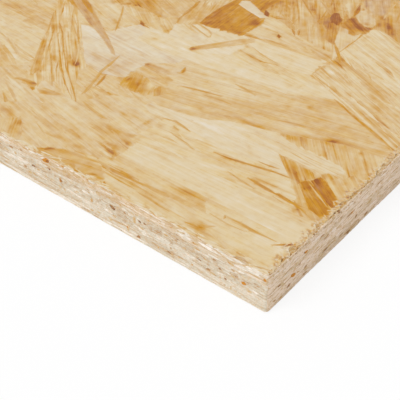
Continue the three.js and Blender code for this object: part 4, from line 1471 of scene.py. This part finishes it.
def edgePoints(side, seed):
    # fine points near the camera's corner
    if side > 1:
        return []
    grid = unevenGrid(
        np.random.default_rng(seed), 0.3, edgeLook["fineStep"], edgeLook["fineReach"][side], panelThick - 0.5,
    )
    away = 1 if side == 1 else -1
    return [(cornerRun + away * along, height) for along, height in grid]


def dressEdge(name, side, seed, strands, material):
    start, end = sideSpan(side)
    kind = edgeKinds["short" if side % 2 else "long"]
    rows = kind["rows"]
    ledge = edgeLook["underLedge"]
    twice = np.concatenate([runs, runs + loopLength])
    own = np.concatenate([[start], twice[(twice > start + 0.05) & (twice < end - 0.05)], [end]])
    around = np.append(runs, runs[0] + loopLength)
    highBack, highDown, footBack, lowFold = (
        np.interp(own, around, np.append(wear, wear[0])) for wear in (topBack, topDown, lowBack, lowDown)
    )
    highFold = panelThick - highDown
    highRim = highFold + highBack + ledge
    lowRim = lowFold - footBack - ledge
    rim = list(zip(own, lowRim)) + list(zip(own, highRim))[::-1]
    lowest, highest = min(lowRim) - 0.1, max(highRim) + 0.1
    rowLength = (end - start) / rows
    lines = [list(zip(own, highFold)), list(zip(own, lowFold))]
    upright = [start + rowLength * i for i in range(1, rows)]
    upright += [start + cornerArc / 2 * i / 3 for i in (1, 2, 3)]
    upright += [end - cornerArc / 2 * i / 3 for i in (1, 2, 3)]
    lines += [[(run, lowest - 1), (run, highest + 1)] for run in upright]
    points, triangles, top = showing([s["outline"] for s in strands], rim, edgePoints(side, seed), lines)
    values = strandValues(strands, np.random.default_rng(seed))
    shape = raisedMesh(points, triangles, top, values, 1.0)
    run, height = shape["place"].T
    high = np.interp(run, own, highFold)
    low = np.interp(run, own, lowFold)
    # beyond either fold the strip turns in under the face, and the upper one slopes up to it
    over = (height - high).clip(0, None) + (low - height).clip(0, None)
    turned = (over / edgeLook["turnIn"]).clip(0, 1)
    inset = over + shape["depth"] * (1 - turned)
    climbed = (over / np.interp(run, own, highBack)).clip(0, 1) * (height > high)
    level = height.clip(low, high) + climbed * (panelThick - edgeLook["ledgeDown"] - high)
    level -= np.where(height > high, 1, -1) * turned * shape["depth"]
    base = np.array([loopPoint(r) for r in run])
    position = np.stack([base[:, 0] - base[:, 2] * inset, base[:, 1] - base[:, 3] * inset, level], axis=1)
    # the ledge's darker tone: partly painted shade so that it doesn't look lit, partly dirtier torn fibres
    shape["ledgeLooks"] = np.outer(turned * (height > high), kind["ledge"])
    row = np.repeat(stretches(shape, 0, start, rowLength, rows), shape["sizes"])

    def mapPlace(flat):
        u = (flat[:, 0] - start) / rowLength - row
        return foldedMap(u, (flat[:, 1] - lowest) / (highest - lowest), row, rows, edgeLook["border"])

    pieceFromCorners(name, shape, np.arange(len(shape["sizes"])), position, False, mapPlace, values, material)


# materials; pattern sizes are mm along the grain and across it, and the finest are drawn about
# three times as coarse as they are, so that they show

faceFinish = {
    "ramp": [
        (0.0, "#E9DCC8"), (0.15, "#E4D2B1"), (0.3, "#E0C99C"), (0.45, "#DABA84"), (0.6, "#D2A55C"),
        (0.75, "#C98F2B"), (0.9, "#B36F10"), (1.0, "#98540A"),
    ],
    "fibre": (28, 1.1),
    "fibreShow": 0.38,    # how far it moves the tone
    "ring": (70, 5.5),    # growth rings cut flat show as broad bands
    "ringShow": 0.6,
    "streak": (34, 2.2),  # dark late wood
    "streakShow": 0.34,
    "streakAbove": (0.58, 0.72),  # where its noise starts to show, and where it shows in full
    "fleck": (3.0, 0.6),  # short dark pores
    "fleckShow": 0.2,
    "fleckAbove": (0.66, 0.78),
    "ridge": (34, 1.35),  # fine furrows of strands cut with a dull knife
    "ridgeShow": 0.9,
    "blush": (8, 3),      # paler and yellower wood in turn
    "blushShow": 0.55,    # how far it moves the colour's strength
    "cloud": 28,          # mm, uneven heat and resin from the press
    "cloudShow": 0.16,
    "mottle": 3.4,
    "mottleShow": 0.30,
    "broken": 0.55,       # how ragged all patterns along the grain are
    "toneShift": -0.34,   # takes the mean of all these away again
    "greyed": 0.62,       # colour strength of a greyed strand
    "roughness": 0.62,
    "relief": 0.12,       # mm, height of the raised fibres
}

edgeFinish = {
    "ramp": [
        (0.0, "#F9EFE4"), (0.25, "#DED5C4"), (0.45, "#CEC3AC"), (0.62, "#C0A688"), (0.78, "#A98059"),
        (0.9, "#8C5B3A"), (1.0, "#6E442C"),
    ],
    # what warm parts tend to
    "resin": [(0.38, "#D8A360"), (0.5, "#CEA452"), (0.8, "#C88F38"), (0.95, "#C88426")],
    "cell": (2.4, 1.1),   # clumps of end grain
    "cellShow": 0.9,
    "line": (9, 0.5),     # fibres seen from the side
    "lineShow": 0.6,
    "grit": (0.7, 0.5),   # single torn fibres
    "gritShow": 0.35,
    "warm": (2.2, 0.9),   # patches stained by resin
    "warmShow": 0.5,
    "warmAbove": (0.48, 0.72),
    "pit": (1.5, 0.7),    # small gaps, drawn only as darker tone: painted shade
    "pitShow": 0.4,
    "pitAbove": (0.66, 0.76),
    "broken": 0.6,
    "roughness": 0.85,
    "relief": 0.15,
}


timesPlus = {"operation": "MULTIPLY_ADD"}
plus = {"operation": "ADD"}


def strandMaterial(name, look, details):
    # a new material with the looks of its strands, and the patterns that are drawn out along their grain
    material, tree = newMaterial(name)
    looks = addNode(tree, "Attribute", {"attribute_name": "strandLooks"})
    parts = addNode(tree, "SeparateColor", links={"Color": looks.outputs["Color"]})
    grain = addNode(tree, "UVMap", {"uv_map": "grainRun"})
    drawn = {}
    for pattern, detail in details.items():
        length, width = look[pattern]
        at = addNode(tree, "Mapping", {"Scale": (1 / length, 1 / width, 1)}, {"Vector": grain})
        settings = {"Scale": 1.0, "Detail": detail, "Roughness": look["broken"]}
        drawn[pattern] = addNode(tree, "TexNoise", settings, {"Vector": at})
        if pattern + "Above" in look:
            low, high = look[pattern + "Above"]
            settings = {"From Min": low, "From Max": high, "To Max": look[pattern + "Show"]}
            drawn[pattern] = addNode(tree, "MapRange", settings, {"Value": drawn[pattern]})
    return material, tree, (*parts.outputs, looks.outputs["Alpha"]), drawn


def pressedStrands():
    # aspen and pine strands, hot pressed with clear resin: satin, straw coloured, with raised late wood
    look = faceFinish
    details = {"fibre": 3.0, "ring": 2.0, "streak": 2.0, "fleck": 1.0, "ridge": 1.0, "blush": 2.0}
    material, tree, (tone, figure, ridge, grey), drawn = strandMaterial("pressedPineStrands", look, details)
    place = addNode(tree, "TexCoord").outputs["Object"]
    for name in ("cloud", "mottle"):
        settings = {"Scale": 1 / mm / look[name], "Detail": 3.0}
        drawn[name] = addNode(tree, "TexNoise", settings, {"Vector": place})
    tone = addNode(tree, "Math", {**plus, 1: look["toneShift"]}, {0: tone})
    for name in ("fibre", "cloud", "mottle"):
        tone = addNode(tree, "Math", {**timesPlus, 1: look[name + "Show"]}, {0: drawn[name], 2: tone})
    # rings and dark streaks by how figured the strand is, furrows by how ridged
    for name, share in (("ring", figure), ("ridge", ridge)):
        show = look[name + "Show"]
        swing = addNode(tree, "Math", {**timesPlus, 1: show, 2: -show / 2}, {0: drawn[name]})
        tone = addNode(tree, "Math", timesPlus, {0: swing, 1: share, 2: tone})
    tone = addNode(tree, "Math", timesPlus, {0: drawn["streak"], 1: figure, 2: tone})
    tone = addNode(tree, "Math", plus, {0: drawn["fleck"], 1: tone})
    colour = addNode(tree, "ValToRGB", {"ramp": look["ramp"]}, {"Fac": tone})
    show = look["blushShow"]
    strength = addNode(tree, "Math", {**timesPlus, 1: show, 2: 1 - show / 2}, {0: drawn["blush"]})
    strength = addNode(tree, "Math", {**timesPlus, 1: look["greyed"] - 1}, {0: grey, 2: strength})
    greyed = addNode(tree, "HueSaturation", links={"Saturation": strength, "Color": colour})
    height = addNode(tree, "Math", timesPlus, {0: drawn["ridge"], 1: ridge, 2: drawn["fibre"]})
    bump = addNode(tree, "Bump", {"Strength": 0.7, "Distance": look["relief"] * mm}, {"Height": height})
    rough = addNode(tree, "Math", {**timesPlus, 1: 0.2, 2: look["roughness"] - 0.1}, {0: drawn["fibre"]})
    links = {"Base Color": greyed, "Roughness": rough, "Normal": bump}
    skin = addNode(tree, "BsdfPrincipled", {"IOR": 1.5}, links)
    addNode(tree, "OutputMaterial", links={"Surface": skin})
    return material


def sawnEdge():
    # the same strands cut by a saw: matt, paler and greyer, blotched where cut across the grain
    look = edgeFinish
    details = {"cell": 3.0, "line": 2.0, "grit": 1.0, "warm": 2.0, "pit": 1.0}
    material, tree, (tone, warmth, _, grey), drawn = strandMaterial("sawnStrandEdge", look, details)
    # clumps show most where strands are cut across
    share = addNode(tree, "Math", {**timesPlus, 1: 0.5, 2: 0.5}, {0: grey})
    show = look["cellShow"]
    swing = addNode(tree, "Math", {**timesPlus, 1: show, 2: -show / 2}, {0: drawn["cell"]})
    tone = addNode(tree, "Math", timesPlus, {0: swing, 1: share, 2: tone})
    for name in ("line", "grit"):
        tone = addNode(tree, "Math", {**timesPlus, 1: look[name + "Show"]}, {0: drawn[name], 2: tone})
    # small gaps darken the tone: painted shade
    tone = addNode(tree, "Math", plus, {0: drawn["pit"], 1: tone})
    level = (look["lineShow"] + look["gritShow"]) / 2
    tone = addNode(tree, "Math", {"operation": "SUBTRACT", 1: level}, {0: tone})
    colour = addNode(tree, "ValToRGB", {"ramp": look["ramp"]}, {"Fac": tone})
    warm = addNode(tree, "Math", {**plus, "use_clamp": True}, {0: drawn["warm"], 1: warmth})
    resin = addNode(tree, "ValToRGB", {"ramp": look["resin"]}, {"Fac": warm})
    wood = addNode(tree, "Mix", {"data_type": "RGBA"}, {0: warm, 6: colour, 7: resin}).outputs[2]
    height = addNode(tree, "Math", plus, {0: drawn["line"], 1: drawn["cell"]})
    bump = addNode(tree, "Bump", {"Strength": 0.6, "Distance": look["relief"] * mm}, {"Height": height})
    settings = {"IOR": 1.5, "Roughness": look["roughness"]}
    sawn = addNode(tree, "BsdfPrincipled", settings, {"Base Color": wood, "Normal": bump})
    addNode(tree, "OutputMaterial", links={"Surface": sawn})
    return material


faceMaterial = pressedStrands()
edgeMaterial = sawnEdge()
print("materials made")

dressFace("topStrands", faceStrands(21) + cornerStrands(23), topBack, True, stainPoints(24), 31, faceMaterial)
dressFace("underStrands", faceStrands(22), lowBack, False, [], 32, faceMaterial)
for side, name in enumerate(("frontLongEdge", "rightShortEdge", "backLongEdge", "leftShortEdge")):
    dressEdge(name, side, 40 + side, edgeStrands(side, 50 + side), edgeMaterial)

# the floor, the lights and the camera

studio = {
    "floorDrop": 0.0002,  # metres under the board, so that the two never touch
    "floorSize": 60.0,
    "floorGlow": 0.85,    # share of white that camera rays see, which leaves a faint shadow
    "sky": 0.64,          # strength of the white light from all round
    "sun": 1.41,
    "sunFrom": (-0.35, -0.75, 0.9),
    "sunSpread": 30,      # degrees, for a soft shadow
}
white = toLinear("#FFFFFF")


def seenAsWhite(tree):
    # 1 where the background itself is seen, straight or in a reflection
    rays = addNode(tree, "LightPath")
    seen = rays.outputs["Is Camera Ray"]
    for kind in ("Is Glossy Ray", "Is Transmission Ray"):
        seen = addNode(tree, "Math", {"operation": "MAXIMUM"}, {0: seen, 1: rays.outputs[kind]})
    return seen


def whiteFloorPaint():
    # white paper: its shadow shows faintly, and light from it stays that of plain paper
    material, tree = newMaterial("whitePaperFloor")
    share = addNode(tree, "Math", {"operation": "MULTIPLY", 1: studio["floorGlow"]}, {0: seenAsWhite(tree)})
    paper = addNode(tree, "BsdfDiffuse", {"Color": white})
    glow = addNode(tree, "Emission", {"Color": white, "Strength": 1.0})
    mixed = addNode(tree, "MixShader", links={0: share, 1: paper, 2: glow})
    addNode(tree, "OutputMaterial", links={"Surface": mixed})
    return material


bpy.ops.object.select_all(action="DESELECT")
bpy.ops.mesh.primitive_plane_add(size=studio["floorSize"], location=(0, 0, -studio["floorDrop"]))
floor = bpy.context.object
floor.name = "paperFloor"
floor.data.materials.append(whiteFloorPaint())

world = bpy.data.worlds.new("softStudio")
bpy.context.scene.world = world
world.use_nodes = True
sky = world.node_tree.nodes["Background"]
sky.inputs["Color"].default_value = white
skyTree = world.node_tree
strength = addNode(skyTree, "Math", {"operation": "MAXIMUM", 1: studio["sky"]}, {0: seenAsWhite(skyTree)})
skyTree.links.new(strength.outputs[0], sky.inputs["Strength"])

lamp = bpy.data.objects.new("frontSoftbox", bpy.data.lights.new("frontSoftbox", "SUN"))
lamp.data.energy = studio["sun"]
lamp.data.angle = radians(studio["sunSpread"])
lamp.rotation_euler = Vector(studio["sunFrom"]).to_track_quat("Z", "Y").to_euler()
bpy.context.collection.objects.link(lamp)

view = {
    "azimuth": 39.53,     # degrees, how far the camera stands round from the front towards +X
    "elevation": 38.34,
    "roll": -0.40,
    "lens": 72.0,         # on a 36 mm sensor
    "corner": (22.90, -25.21, 264.68),    # mm, where the near top corner is: right, up and ahead
}


def addCamera():
    azimuth, elevation, roll = (radians(view[k]) for k in ("azimuth", "elevation", "roll"))
    flat = cos(elevation)
    back = Vector((sin(azimuth) * flat, -cos(azimuth) * flat, sin(elevation)))
    level = Vector((0, 0, 1)).cross(back).normalized()
    upright = back.cross(level)
    right = cos(roll) * level + sin(roll) * upright
    up = cos(roll) * upright - sin(roll) * level
    across, above, ahead = (value * mm for value in view["corner"])
    corner = Vector((panelHigh[0], panelLow[1], panelHigh[2]))
    camera = bpy.data.objects.new("camera", bpy.data.cameras.new("camera"))
    camera.data.lens = view["lens"]
    camera.data.sensor_width = 36.0
    camera.data.clip_start = 0.01
    camera.data.clip_end = 100.0
    camera.location = corner - across * right - above * up + ahead * back
    camera.rotation_euler = Matrix((right, up, back)).transposed().to_euler()
    bpy.context.collection.objects.link(camera)
    bpy.context.scene.camera = camera


addCamera()
bpy.context.scene.view_settings.view_transform = "Standard"

print("scene ready")
